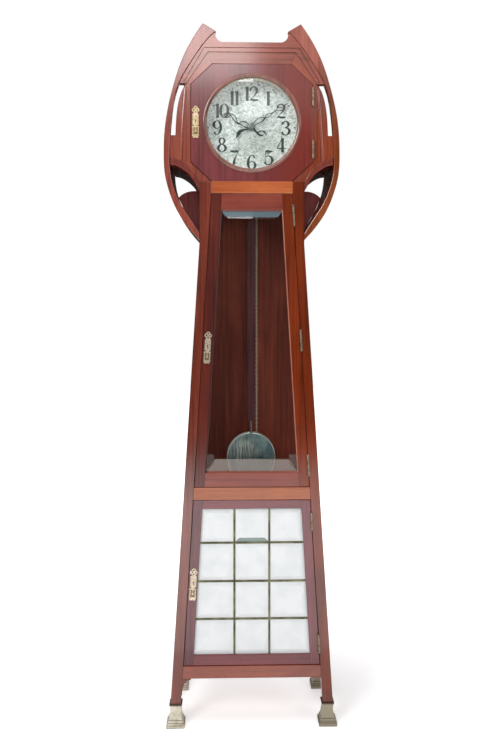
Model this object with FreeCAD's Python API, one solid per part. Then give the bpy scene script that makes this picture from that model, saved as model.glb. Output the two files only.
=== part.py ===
import FreeCAD, Part
import math
import os

os.makedirs("parts", exist_ok=True)
V = FreeCAD.Vector

# Millimetres. X to the viewer's right, Y away from the viewer, Z up.
# The origin is on the floor under the middle of the case.

# Driving sizes
total_height = 2100.0
case_depth = 260.0
hoop_half_width = 263.5
leg_half_width = 242.88
mid_rail_top = 712.0
bottom_rail_top = 179.0
sabot_height = 67.0

# Widths of the trunk and the hood, as shares of the hoop's half width.
kink_share = 0.5958254
hood_share = 0.6925996
hood_corner_share = 0.4516129
kink_half_width = hoop_half_width * kink_share
hood_half = hoop_half_width * hood_share
hood_corner_half = hoop_half_width * hood_corner_share

# Boards of the case
stile_face = 35.0
leg_face = 26.95
stile_depth = 30.0
panel_thickness = 12.0
panel_setback = 5.0
rail_depth = 24.0
rail_face = 37.0
top_rail_face = 36.0
board_thickness = 12.0
overrun = 5.0

# Heights that hang from the top
stile_top_drop = 472.0
hood_top_drop = 120.0
dial_drop = 297.0
kink_drop = 660.0
slit_drop = 334.0
stile_top = total_height - stile_top_drop
kink_height = total_height - kink_drop
doorway_top = stile_top - top_rail_face
doorway_top_half = kink_half_width - stile_face
doorway_slope = (leg_half_width - leg_face - doorway_top_half) / doorway_top

# Heights that stand on the floor
mid_rail_bottom = mid_rail_top - rail_face
bottom_rail_bottom = bottom_rail_top - rail_face
waist_floor_drop = 22.0
base_floor_drop = 17.0
waist_floor_top = mid_rail_top - waist_floor_drop
base_floor_top = bottom_rail_top - base_floor_drop

# Doors
door_gap = 1.5
door_setback = 1.5
door_thickness = 22.0
glass_lip = 7.5
rebate_width = 8.0
rebate_play = 0.5
waist_top_rail = 48.5
waist_bottom_rail = 42.5
waist_stile = 30.0
waist_bevel = 25.0
lower_top_rail = 25.5
lower_bottom_rail = 31.5
lower_stile = 28.0
pane_bevel = 11.0
glass_rim = 3.0
glass_crown = 2.5
waist_crown = 3.5
came_shares = (0.764, 0.5, 0.241)
came_spacing_share = 0.3253
came_width = 6.0
came_core = 2.0
came_flange = 1.5

# Hood door, an octagon
octagon_corner = 61.0
octagon_foot = 58.0
hood_top = total_height - hood_top_drop
hood_side_top = hood_top - octagon_corner
hood_side_bottom = stile_top + octagon_foot
dial_height = total_height - dial_drop
dial_margin = 35.5
dial_overlap = 11.0
dial_radius = hood_half - dial_margin
hood_sight_radius = dial_radius - dial_overlap
hood_glass_lap = 6.0
hood_glass_radius = hood_sight_radius + hood_glass_lap
bezel_height = 5.0
bezel_width = 13.0
bezel_step = 0.5
bezel_radius = hood_sight_radius + bezel_width
bezel_inner_radius = hood_sight_radius + bezel_step

# Front board of the hood with its mouldings
hood_board = 22.0
hood_front_step = 6.0
cornice_step = 3.0
frame_face = 36.0
frame_miter = 13.0
frame_margin = 14.0
frame_rise = 2.0
bead_face = 11.0
bead_miter = 9.0
bead_margin = 4.5
bead_rise = 6.0
cornice_face = 18.0
cove_face = 27.0
cove_width = 20.0
cove_inset = 10.0
frame_top = hood_top + frame_face
frame_corner_half = hood_corner_half + frame_miter
frame_end_half = hood_half + frame_margin
frame_end = hood_side_top + frame_rise
bead_top = frame_top + bead_face
bead_corner_half = frame_corner_half + bead_miter
bead_end_half = frame_end_half + bead_margin
bead_end = frame_end + bead_rise
cornice_top = bead_top + cornice_face
cove_top = cornice_top + cove_face
cove_half = hood_corner_half - cove_inset
cornice_half = cove_half - cove_width
groove_width = 2.5
groove_depth = 3.0
groove_margin = 24.5
side_groove_half = hood_half + groove_margin
slit_bottom = total_height - slit_drop

# Hood box behind the front board
box_margin = 22.5
box_drop = 71.0
box_step = 4.0
box_miter = 5.0
hood_box_half = hood_half + box_margin
hood_box_bottom = slit_bottom - box_drop
hood_box_shoulder = frame_end
hood_box_top = frame_top - box_step
hood_box_top_half = frame_corner_half + box_miter

# Hoop
hoop_board = 28.0
hoop_tuck = 17.5
hoop_inset = hoop_half_width - hoop_tuck
stile_top_share = 0.2247619
drawn_height = stile_top_drop / stile_top_share

# Sabots
sabot_plinth = 54.0
sabot_step = 47.0
sabot_waist = 31.0
sabot_shaft = 35.0
sabot_collar = 38.0
sabot_plinth_height = 10.0
sabot_step_height = 15.0
sabot_flare_height = 24.0
sabot_neck_height = 34.0
sabot_shaft_height = 64.0
sabot_socket = 6.0

# Foot bracket
bracket_bottom = 92.0
bracket_reach = 25.0
bracket_step = 4.0
bracket_nose = 3.0
bracket_toe = 1.5
bracket_facets = 12
stub_length = 30.0
stub_height = 2.5

# Escutcheon plates
plate_width = 21.0
plate_length = 95.0
plate_thickness = 2.0
plate_body_width = 18.0
plate_neck_width = 12.0
plate_neck_length = 5.0
plate_waist_width = 12.0
plate_waist_drop = 8.5
plate_waist_length = 4.0
plate_foot_width = 17.0
plate_foot_length = 6.0
plate_rim_width = 2.5
plate_rim_margin = 1.5
plate_rim_height = 1.2
plate_lobe_radius = 6.0
plate_lobe_reach = 5.2
plate_hole_radius = 2.3
keyhole_radius = 2.2
keyhole_slot = 2.4
keyhole_length = 8.0
pull_radius = 3.2
pull_neck_width = 2.6
pull_length = 11.0
hood_plate_inset = 14.0
hood_plate_rise = 2.0
waist_plate_drop = 21.0
lower_plate_drop = 3.0

# Hinges
knuckle_radius = 3.5
hinge_pin_radius = 1.5
running_clearance = 0.05
leaf_thickness = 0.5
leaf_width = 18.0
knuckle_gap = 0.3
knuckle_clearance = 0.1
hood_hinge_length = 54.0
waist_hinge_length = 65.0
lower_hinge_length = 55.0
hinge_inset = 38.0
door_hinge_inset = 66.0
hood_hinge_heights = (hood_side_bottom + hinge_inset, hood_side_top - hinge_inset)
waist_hinge_heights = (
    mid_rail_top + door_hinge_inset, (mid_rail_top + doorway_top) / 2, doorway_top - door_hinge_inset,
)
lower_hinge_heights = (bottom_rail_top + door_hinge_inset, mid_rail_bottom - door_hinge_inset)

# Dial and hands
dial_front = -65.0
dial_thickness = 2.0
dial_rim = 3.0
dial_rim_height = 2.0
dial_hole_radius = 6.0
dial_foot_radius = 3.0
dial_foot_half = 56.0
hour_hand_share = 0.585
minute_hand_share = 0.939
hour_hand_length = dial_radius * hour_hand_share
minute_hand_length = dial_radius * minute_hand_share
hand_tail = 60.0
hand_thickness = 1.2
hour_hand_front = -70.0
minute_hand_front = -74.0
hand_boss_radius = 8.0
hand_stem_half = 1.9
nut_radius = 4.5
nut_length = 3.0
hour_hand_degrees = 296.5
minute_hand_degrees = 57.0

# Movement
plate_half = 66.0
plate_drop = 108.0
plate_rise = 89.0
plate_low = dial_height - plate_drop
plate_high = dial_height + plate_rise
pillar_inset = 11.5
front_plate_front = -20.0
back_plate_front = 50.0
movement_plate = 3.0
pillar_radius = 5.0
pillar_half = 56.0
pillar_heights = (plate_low + pillar_inset, plate_high - pillar_inset)
dial_foot_heights = pillar_heights
arbor_radius = 2.0
gear_module = 0.8
train_teeth = 96
third_teeth = 90
pinion_leaves = 12
motion_cannon_teeth = 15
motion_minute_teeth = 45
motion_pinion_teeth = 12
motion_hour_teeth = 48
wheel_thickness = 2.0
pinion_length = 6.0
great_layer = 34.0
center_layer = 20.0
third_layer = 6.0
escape_layer = -26.0
motion_front_layer = -60.0
motion_back_layer = -55.0
tooth_share = 0.34
addendum_share = 0.75
dedendum_share = 1.15
escape_radius = 28.0
escape_root = 24.0
escape_teeth = 30
rim_share = 0.8
hub_radius = 6.0
crossing_width = 5.0
crossing_count = 4
cannon_radius = 3.5
cannon_bore_clearance = 0.08
hour_pipe_radius = 5.2
third_angle = 235.0
minute_post_radius = 2.0
great_angle = 90.0
pivot_drop = 20.0
anchor_thickness = 3.0
pallet_radius = 30.3
pallet_angle = 48.0
pallet_size = 4.0
anchor_arm = 5.0
crutch_layer = -30.0
crutch_thickness = 1.6
crutch_width = 6.0
crutch_length = 62.0
crutch_pin_radius = 1.5
crutch_slot_clearance = 0.8

# Seatboard
seat_thickness = 12.0
seat_front = -22.0
chain_hole_radius = 9.0

# Pendulum
rod_front = -44.0
rod_depth = 10.0
rod_width = 22.0
rod_top_drop = 53.0
rod_top = dial_height - rod_top_drop
bob_radius = 75.0
bob_clearance = 24.0
bob_neck = 35.0
bob_height = waist_floor_top + bob_clearance + bob_radius
rod_bottom = bob_height + bob_radius + bob_neck
bob_half_thickness = 10.0
bob_rim_rise = 1.5
bob_rim = 3.0
bob_chamfer = 1.5
bob_notch_half = 11.0
bob_notch_depth = 5.0
tail_radius = 3.8
tail_clearance = 9.0
tail_bottom = waist_floor_top + tail_clearance
rating_nut_radius = 9.0
rating_nut_height = 8.0
cock_width = 14.0
cock_bar = 5.0
cock_lift = 5.0
cock_cheek = 2.5
cock_drop = 5.0
eye_radius = 4.0
spring_thickness = 0.4
spring_width = 10.0
chop_height = 10.0
cheek_play = 0.5

# Chain and weight
sprocket_radius = 17.0
sprocket_width = 8.0
sprocket_layer = 62.0
chain_radius = 3.0
chain_play = 0.4
chain_tail_drop = 153.0
chain_tail_bottom = dial_height - chain_tail_drop
weight_radius = 32.0
weight_clearance = 38.0
weight_length = 92.0
weight_hook_length = 16.0
weight_bottom = waist_floor_top + weight_clearance
weight_top = weight_bottom + weight_length
weight_hook_top = weight_top + weight_hook_length
weight_hook_radius = 2.5
weight_shoulder = 4.0

# Derived planes
front = -case_depth / 2
back = case_depth / 2
door_front = front + door_setback
door_back = door_front + door_thickness
lip_back = door_front + glass_lip
trunk_slope = (leg_half_width - kink_half_width) / (kink_height - sabot_height)
back_inner = back - board_thickness
hood_front = front + hood_front_step

# Hoop outline: share of the hoop's half width, share of the height it was drawn at.
hoop_outer_shares = (
    (0.558, 1.0), (0.698, 0.973), (0.797, 0.9476), (0.888, 0.9133), (0.9545, 0.879),
    (0.987, 0.8524), (1.0, 0.8152), (0.987, 0.7852), (0.9374, 0.76), (0.8524, 0.7343),
    (0.7173, 0.7086), (0.596, 0.6914),
)
hoop_inner_shares = (
    (0.408, 0.9888), (0.536, 0.9729), (0.649, 0.953), (0.7625, 0.9303), (0.83, 0.9133),
    (0.892, 0.8833), (0.924, 0.8457), (0.9355, 0.8152), (0.922, 0.7838), (0.888, 0.7667),
    (0.808, 0.7429), (0.683, 0.7186), (0.596, 0.7005),
)
# Inner edge of the slit beside the hood.
slit_shares = ((0.7855, 0.9076), (0.8425, 0.8833), (0.8615, 0.8624), (0.869, 0.841))
# Arches under the hood, in the same shares.
arch_lower_shares = (
    (0.926, 0.799), (0.865, 0.7976), (0.797, 0.7933), (0.7287, 0.7867), (0.6717, 0.7781),
    (0.626, 0.7676), (0.596, 0.761),
)
arch_upper_shares = (
    (0.926, 0.8086), (0.8197, 0.8052), (0.7628, 0.801), (0.706, 0.7942), (0.649, 0.7857),
    (0.612, 0.7776), (0.596, 0.7752),
)
web_top_shares = ((0.89, 0.7667), (0.80, 0.775), (0.70, 0.7775), (0.596, 0.7762))


def export(name, shape):
    shape.exportStep("parts/" + name + ".step")


def box(x0, x1, y0, y1, z0, z1):
    return Part.makeBox(x1 - x0, y1 - y0, z1 - z0, V(x0, y0, z0))


def cylinder_y(x, z, radius, y0, y1):
    return Part.makeCylinder(radius, y1 - y0, V(x, y0, z), V(0, 1, 0))


def ring_y(x, z, outer, inner, y0, y1):
    body = cylinder_y(x, z, outer, y0, y1)
    return body.cut(cylinder_y(x, z, inner, y0 - overrun, y1 + overrun))


def prism(points, y0, y1):
    corners = [V(x, y0, z) for x, z in points]
    face = Part.Face(Part.makePolygon(corners + [corners[0]]))
    return face.extrude(V(0, y1 - y0, 0))


def edge_prism(edges, y0, y1):
    face = Part.Face(Part.Wire(edges))
    return face.extrude(V(0, y1 - y0, 0))


def mirrored(shape):
    return shape.mirror(V(0, 0, 0), V(1, 0, 0))


def both(shape):
    return Part.makeCompound([shape, mirrored(shape)])


def scaled(shares):
    return [(s * hoop_half_width, total_height - (1 - t) * drawn_height) for s, t in shares]


def curve(points, y):
    spline = Part.BSplineCurve()
    spline.interpolate([V(x, y, z) for x, z in points])
    return spline.toShape()


def line(p, q, y):
    return Part.makeLine(V(p[0], y, p[1]), V(q[0], y, q[1]))


def half(z):
    if z >= kink_height:
        return kink_half_width
    return kink_half_width + (kink_height - z) * trunk_slope


def doorway(z):
    if z >= doorway_top:
        return doorway_top_half
    return doorway_top_half + (doorway_top - z) * doorway_slope


def trapezoid(z0, z1, inset):
    a = doorway(z0) - inset
    b = doorway(z1) - inset
    return [(-a, z0), (a, z0), (b, z1), (-b, z1)]


def loft_y(points_a, ya, points_b, yb):
    wires = []
    for points, y in ((points_a, ya), (points_b, yb)):
        corners = [V(x, y, z) for x, z in points]
        wires.append(Part.makePolygon(corners + [corners[0]]))
    return Part.makeLoft(wires, True, True)


def octagon(grow):
    diagonal = grow * math.tan(math.pi / 8)
    a = hood_corner_half + diagonal
    b = hood_half + grow
    right = [
        (a, hood_top + grow), (b, hood_side_top + diagonal),
        (b, hood_side_bottom - diagonal), (a, stile_top - grow),
    ]
    left = [(-x, z) for x, z in reversed(right)]
    return right + left


# Stiles: the front and rear uprights, the legs are their lower ends.
leg_end = sabot_height - sabot_socket
stile_outline = [
    (doorway(leg_end), leg_end), (half(leg_end), leg_end),
    (kink_half_width, kink_height), (kink_half_width, stile_top),
    (doorway_top_half, stile_top), (doorway_top_half, doorway_top),
]
stile_front_right = prism(stile_outline, front, front + stile_depth)
stile_rear_right = prism(stile_outline, back - stile_depth, back)
export("stile_front_right", stile_front_right)
export("stile_front_left", mirrored(stile_front_right))
export("stile_rear_right", stile_rear_right)
export("stile_rear_left", mirrored(stile_rear_right))

# Side panels stand between the front and rear stiles.
panel_out = panel_setback
panel_in = panel_setback + panel_thickness
side_outline = [
    (half(bottom_rail_bottom) - panel_in, bottom_rail_bottom),
    (half(bottom_rail_bottom) - panel_out, bottom_rail_bottom),
    (kink_half_width - panel_out, kink_height), (kink_half_width - panel_out, stile_top),
    (kink_half_width - panel_in, stile_top), (kink_half_width - panel_in, kink_height),
]
side_panel = prism(side_outline, front + stile_depth, back - stile_depth)
export("side_panel_right", side_panel)
export("side_panel_left", mirrored(side_panel))

# Backboard fills the trunk between the rear stiles and the whole hood.
hood_inner_half = hood_box_half - board_thickness
back_outline = [
    (doorway(base_floor_top), bottom_rail_bottom), (doorway_top_half, doorway_top),
    (doorway_top_half, stile_top + door_gap), (kink_half_width, stile_top + board_thickness),
    (hood_inner_half, hood_box_bottom), (hood_inner_half, hood_box_shoulder),
    (frame_corner_half - board_thickness, hood_box_top - board_thickness),
]
back_outline += [(-x, z) for x, z in reversed(back_outline)]
export("backboard", prism(back_outline, back_inner, back))

# Rails
upper_rail = prism(trapezoid(doorway_top, stile_top, 0), front, front + rail_depth)
middle_rail = prism(trapezoid(mid_rail_bottom, mid_rail_top, 0), front, front + rail_depth)
bottom_rail = prism(trapezoid(bottom_rail_bottom, bottom_rail_top, 0), front, front + rail_depth)
stub_end = doorway(bottom_rail_bottom)
stub = box(
    stub_end - stub_length, stub_end, front, front + rail_depth,
    bottom_rail_bottom - stub_height, bottom_rail_bottom,
)
export("rail_upper", upper_rail)
export("rail_middle", middle_rail)
export("rail_bottom", bottom_rail.fuse(stub).removeSplitter())

# Left foot bracket with its hollow quarter round.
bracket_top = -doorway(bottom_rail_bottom)
bracket_foot = -doorway(bracket_bottom)
nose = bracket_top + bracket_reach
drop = bottom_rail_bottom - bracket_step - bracket_bottom
reach = nose - bracket_nose - bracket_foot - bracket_toe
bracket_outline = [(bracket_foot, bracket_bottom)]
for i in range(bracket_facets + 1):
    turn = math.pi / 2 * i / bracket_facets
    bracket_outline.append((
        bracket_foot + bracket_toe + reach * (1 - math.cos(turn)), bracket_bottom + drop * math.sin(turn),
    ))
bracket_outline += [
    (nose, bottom_rail_bottom - bracket_step), (nose, bottom_rail_bottom),
    (bracket_top, bottom_rail_bottom),
]
export("foot_bracket", prism(bracket_outline, front, front + rail_depth))


def floor(top):
    bottom = top - board_thickness
    a = half(bottom) - panel_in
    b = half(top) - panel_in
    outline = [(-a, bottom), (a, bottom), (b, top), (-b, top)]
    board = prism(outline, front + rail_depth, back_inner)
    for stile in (stile_front_right, stile_rear_right):
        board = board.cut(stile).cut(mirrored(stile))
    return board


export("waist_floor", floor(waist_floor_top))
export("base_floor", floor(base_floor_top))

# Hoop: a bow-shaped front board, and from the shoulder down a band as deep as the case.
outer_points = scaled(hoop_outer_shares)
inner_points = scaled(hoop_inner_shares)


def hoop_region(y0, y1):
    edges = [
        curve(outer_points, y0),
        line(outer_points[-1], inner_points[-1], y0),
        curve(list(reversed(inner_points)), y0),
        line(inner_points[0], outer_points[0], y0),
    ]
    return edge_prism(edges, y0, y1)


hoop_face = hoop_region(front, front + hoop_board)
hoop_band = hoop_region(front + hoop_board, back)
band_zone = box(0, total_height, front, back, 0, slit_bottom)
hoop_right = hoop_face.fuse(hoop_band.common(band_zone)).removeSplitter()

# Hood front board: everything inside the hoop around the octagonal doorway.
slit_points = scaled(slit_shares)
upper_arch = scaled(arch_upper_shares)
lower_arch = scaled(arch_lower_shares)
frame_outline = [
    line((0, frame_top), (frame_corner_half, frame_top), hood_front),
    line((frame_corner_half, frame_top), (frame_end_half, frame_end), hood_front),
    line((frame_end_half, frame_end), slit_points[0], hood_front),
    curve(slit_points, hood_front),
    line(slit_points[-1], (hoop_inset, slit_points[-1][1]), hood_front),
    line((hoop_inset, slit_points[-1][1]), (hoop_inset, upper_arch[0][1]), hood_front),
    line((hoop_inset, upper_arch[0][1]), upper_arch[0], hood_front),
    curve(upper_arch, hood_front),
    line(upper_arch[-1], (0, upper_arch[-1][1]), hood_front),
    line((0, upper_arch[-1][1]), (0, frame_top), hood_front),
]
frame_right = edge_prism(frame_outline, hood_front, hood_front + hood_board)
frame_right = frame_right.cut(hoop_region(front - overrun, back + overrun))
doorway_cut = prism(octagon(door_gap), front - overrun, back)
frame_right = frame_right.cut(doorway_cut)


def groove(p, q):
    length = math.hypot(q[0] - p[0], q[1] - p[1])
    nx = -(q[1] - p[1]) / length * groove_width / 2
    nz = (q[0] - p[0]) / length * groove_width / 2
    corners = [
        (p[0] + nx, p[1] + nz), (q[0] + nx, q[1] + nz),
        (q[0] - nx, q[1] - nz), (p[0] - nx, p[1] - nz),
    ]
    return prism(corners, hood_front - overrun, hood_front + groove_depth)


groove_low = hood_side_bottom
frame_right = frame_right.cut(groove((side_groove_half, slit_points[0][1] + overrun),
                                     (side_groove_half, groove_low)))
frame_right = frame_right.cut(groove((frame_end_half, frame_end), (frame_end_half, groove_low)))
hood_frame = frame_right.fuse(mirrored(frame_right)).removeSplitter()
stile_zone = box(
    -kink_half_width, kink_half_width, front, back, 0, stile_top,
)
export("hood_frame", hood_frame.cut(stile_zone))

# Cornice board with its bead and the hollow cove at each end.
cornice_front = front + cornice_step
mid_angle = math.pi / 4
cove_mid = (
    cove_half - (cove_half - cornice_half) * (1 - math.cos(mid_angle)),
    cornice_top + (cove_top - cornice_top) * (1 - math.sin(mid_angle)),
)
cove_arc = Part.Arc(
    V(cornice_half, cornice_front, cornice_top),
    V(cove_mid[0], cornice_front, cove_mid[1]),
    V(cove_half, cornice_front, cove_top),
).toShape()
cornice_edges = [
    line((0, cornice_top), (cornice_half, cornice_top), cornice_front),
    cove_arc,
    line((cove_half, cove_top), (hoop_inset, cove_top), cornice_front),
    line((hoop_inset, cove_top), (hoop_inset, frame_end), cornice_front),
    line((hoop_inset, frame_end), (frame_end_half, frame_end), cornice_front),
    line((frame_end_half, frame_end), (frame_corner_half, frame_top), cornice_front),
    line((frame_corner_half, frame_top), (0, frame_top), cornice_front),
    line((0, frame_top), (0, cornice_top), cornice_front),
]
cornice_right = edge_prism(cornice_edges, cornice_front, hood_front + hood_board)
cornice_right = cornice_right.cut(hoop_region(front - overrun, back + overrun))
keep_points = [(0, frame_end), (0, total_height), (cove_half, total_height)]
keep_points += inner_points[1:5] + [(frame_end_half, frame_end)]
cornice_right = cornice_right.common(prism(keep_points, front - overrun, back))
bead_points = [
    (0, frame_top), (0, bead_top), (bead_corner_half, bead_top), (bead_end_half, bead_end),
    (frame_end_half, frame_end), (frame_corner_half, frame_top),
]
bead_recess = prism(
    [(0, frame_top), (0, bead_top + groove_width), (bead_corner_half + groove_width, bead_top + groove_width),
     (bead_end_half + groove_width, bead_end), (frame_end_half + groove_width, frame_end - overrun),
     (frame_end_half, frame_end - overrun), (frame_corner_half, frame_top)],
    front - overrun, cornice_front + groove_depth,
)
bead = prism(bead_points, cornice_front, cornice_front + groove_depth)
cornice_right = cornice_right.cut(bead_recess).fuse(bead).removeSplitter()
cornice = cornice_right.fuse(mirrored(cornice_right)).removeSplitter()
export("cornice", cornice)

hoop_right = hoop_right.cut(stile_zone)
export("hoop_right", hoop_right)
export("hoop_left", mirrored(hoop_right))

# Shoulder: the arched soffit under the hood and the shelf that closes it on top.
soffit_edges = [
    curve(lower_arch, front),
    line(lower_arch[-1], upper_arch[-1], front),
    curve(list(reversed(upper_arch)), front),
    line(upper_arch[0], lower_arch[0], front),
]
soffit = edge_prism(soffit_edges, front, back_inner)
soffit = soffit.cut(hoop_region(front - overrun, back + overrun))
soffit = soffit.cut(box(0, kink_half_width, front, back, 0, total_height))
shelf = box(
    hood_box_half, hoop_inset, hood_front + hood_board, back,
    slit_bottom - board_thickness, slit_bottom,
)
shelf = shelf.cut(hoop_region(front - overrun, back + overrun))
shoulder = Part.makeCompound([soffit, shelf])
export("shoulder_right", shoulder)
export("shoulder_left", mirrored(shoulder))

# Web panels close the lower corners at the back.
web_top = scaled(web_top_shares)
web_edges = [
    curve(web_top, back_inner),
    line(web_top[-1], inner_points[-1], back_inner),
    line(inner_points[-1], (hoop_half_width, inner_points[-1][1]), back_inner),
    line((hoop_half_width, inner_points[-1][1]), web_top[0], back_inner),
]
web = edge_prism(web_edges, back_inner, back)
web = web.cut(hoop_region(front - overrun, back + overrun))
web = web.common(prism(
    [(0, inner_points[-1][1]), (0, total_height), (hoop_inset, total_height)] + inner_points[7:],
    back_inner - overrun, back + overrun,
))
web = web.cut(box(0, kink_half_width, front, back + overrun, 0, total_height))
export("web_panels", both(web))

# Hood box: roof and two cranked sides.
side_box_outline = [
    (hood_box_half, hood_box_bottom), (hood_box_half, hood_box_shoulder),
    (hood_box_top_half, hood_box_top), (frame_corner_half - board_thickness, hood_box_top),
    (frame_corner_half - board_thickness, hood_box_top - board_thickness),
    (hood_inner_half, hood_box_shoulder), (hood_inner_half, hood_box_bottom),
]
hood_side = prism(side_box_outline, hood_front + hood_board, back)
export("hood_side_right", hood_side)
export("hood_side_left", mirrored(hood_side))
roof_half = frame_corner_half - board_thickness
export("hood_roof", box(
    -roof_half, roof_half, hood_front + hood_board, back,
    hood_box_top - board_thickness, hood_box_top,
))

# Sabots


def square_wire(x, y, size, z):
    h = size / 2
    corners = [V(x - h, y - h, z), V(x + h, y - h, z), V(x + h, y + h, z), V(x - h, y + h, z)]
    return Part.makePolygon(corners + [corners[0]])


def sabot(x, y):
    steps = (
        (sabot_plinth, 0, sabot_plinth, sabot_plinth_height),
        (sabot_step, sabot_plinth_height, sabot_step, sabot_step_height),
        (sabot_step, sabot_step_height, (sabot_step + sabot_shaft) / 2 - bracket_step / 2, sabot_flare_height),
        ((sabot_step + sabot_shaft) / 2 - bracket_step / 2, sabot_flare_height, sabot_shaft, sabot_neck_height),
        (sabot_shaft, sabot_neck_height, sabot_waist, (sabot_neck_height + sabot_shaft_height) / 2),
        (sabot_waist, (sabot_neck_height + sabot_shaft_height) / 2, sabot_shaft, sabot_shaft_height),
        (sabot_collar, sabot_shaft_height, sabot_collar, sabot_height),
    )
    body = None
    for size_a, z_a, size_b, z_b in steps:
        part = Part.makeLoft([square_wire(x, y, size_a, z_a), square_wire(x, y, size_b, z_b)], True, True)
        body = part if body is None else body.fuse(part)
    return body.removeSplitter()


leg_center = (half(sabot_height) + doorway(sabot_height)) / 2
stile_center = case_depth / 2 - stile_depth / 2
sabot_front = sabot(leg_center, -stile_center).cut(stile_front_right)
sabot_rear = sabot(leg_center, stile_center).cut(stile_rear_right)
export("sabots", Part.makeCompound([
    sabot_front, sabot_rear, mirrored(sabot_front), mirrored(sabot_rear),
]))

# Hood door with its round sight, bezel and glass.
hood_door = prism(octagon(0), door_front, door_back)
hood_door = hood_door.cut(cylinder_y(0, dial_height, hood_sight_radius, front - overrun, back))
hood_door = hood_door.cut(cylinder_y(0, dial_height, hood_glass_radius + rebate_play, lip_back, back))
export("hood_door", hood_door)
export("hood_glass", cylinder_y(0, dial_height, hood_glass_radius, lip_back, lip_back + glass_rim))
bezel_face = Part.Face(Part.Wire([
    Part.makeLine(V(bezel_inner_radius, door_front, 0), V(bezel_radius, door_front, 0)),
    Part.Arc(
        V(bezel_radius, door_front, 0),
        V((bezel_radius + bezel_inner_radius) / 2, door_front - bezel_height, 0),
        V(bezel_inner_radius, door_front, 0),
    ).toShape(),
]))
bezel = bezel_face.revolve(V(0, 0, 0), V(0, 1, 0), 360)
bezel.translate(V(0, 0, dial_height))
export("hood_bezel", bezel)


def framed_door(z0, z1, stile, top_rail, bottom_rail_width):
    outer = trapezoid(z0 + door_gap, z1 - door_gap, door_gap)
    sight = trapezoid(z0 + door_gap + bottom_rail_width, z1 - door_gap - top_rail, door_gap + stile)
    rebate = trapezoid(
        z0 + door_gap + bottom_rail_width - rebate_width, z1 - door_gap - top_rail + rebate_width,
        door_gap + stile - rebate_width,
    )
    body = prism(outer, door_front, door_back)
    body = body.cut(prism(sight, front - overrun, back))
    return body.cut(prism(rebate, lip_back, back))


waist_door = framed_door(mid_rail_top, doorway_top, waist_stile, waist_top_rail, waist_bottom_rail)
export("waist_door", waist_door)
waist_low = mid_rail_top + door_gap + waist_bottom_rail
waist_high = doorway_top - door_gap - waist_top_rail
glass_back = lip_back + glass_rim
rim_edge = trapezoid(
    waist_low - rebate_width + rebate_play, waist_high + rebate_width - rebate_play,
    door_gap + waist_stile - rebate_width + rebate_play,
)
bevel_edge = trapezoid(
    waist_low + rebate_play, waist_high - rebate_play, door_gap + waist_stile + rebate_play,
)
crown_edge = trapezoid(
    waist_low + waist_bevel, waist_high - waist_bevel, door_gap + waist_stile + waist_bevel,
)
waist_glass = prism(rim_edge, lip_back, glass_back)
waist_glass = waist_glass.fuse(loft_y(bevel_edge, lip_back, crown_edge, lip_back - waist_crown))
export("waist_glass", waist_glass)

# Lower door with twelve bevelled panes in cames.
lower_door = framed_door(bottom_rail_top, mid_rail_bottom, lower_stile, lower_top_rail, lower_bottom_rail)
export("lower_door", lower_door)
lower_low = bottom_rail_top + door_gap + lower_bottom_rail
lower_high = mid_rail_bottom - door_gap - lower_top_rail
lower_inset = door_gap + lower_stile
came_heights = [lower_low + share * (lower_high - lower_low) for share in came_shares]
came_half_spacing = (doorway(came_heights[1]) - lower_inset) * came_spacing_share


def cell(z0, z1, column, shrink, rim):
    core = came_core / 2 + shrink
    a = z0 + (core if z0 > lower_low else shrink - rim)
    b = z1 - (core if z1 < lower_high else shrink - rim)
    xa = doorway(a) - lower_inset - shrink + rim
    xb = doorway(b) - lower_inset - shrink + rim
    near = came_half_spacing - core
    far = came_half_spacing + core
    if column == 0:
        return [(-near, a), (near, a), (near, b), (-near, b)]
    return [(column * far, a), (column * xa, a), (column * xb, b), (column * far, b)]


rows = (lower_low,) + tuple(reversed(came_heights)) + (lower_high,)
panes = []
for low, high in zip(rows, rows[1:]):
    for column in (-1, 0, 1):
        rim_share_width = rebate_width - rebate_play
        pane = prism(cell(low, high, column, 0, rim_share_width), lip_back, glass_back)
        inner = came_width / 2 - came_core / 2
        base = cell(low, high, column, inner, 0)
        crown = cell(low, high, column, inner + pane_bevel, 0)
        panes.append(pane.fuse(loft_y(base, lip_back, crown, lip_back - glass_crown)))
export("lower_panes", Part.makeCompound(panes))


def came_layer(width, y0, y1, grow):
    low = lower_low - grow
    high = lower_high + grow
    h = width / 2
    bars = None
    for x in (-came_half_spacing, came_half_spacing):
        bar = box(x - h, x + h, y0, y1, low, high)
        bars = bar if bars is None else bars.fuse(bar)
    for z in came_heights:
        a = doorway(z) - lower_inset + grow
        bars = bars.fuse(box(-a, a, y0, y1, z - h, z + h))
    return bars


came_grow = rebate_width - rebate_play
cames = came_layer(came_core, lip_back, glass_back, came_grow)
cames = cames.fuse(came_layer(came_width, lip_back - came_flange, lip_back, -rebate_play))
cames = cames.fuse(came_layer(came_width, glass_back, glass_back + came_flange, came_grow))
export("lower_cames", cames.removeSplitter())


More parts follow.
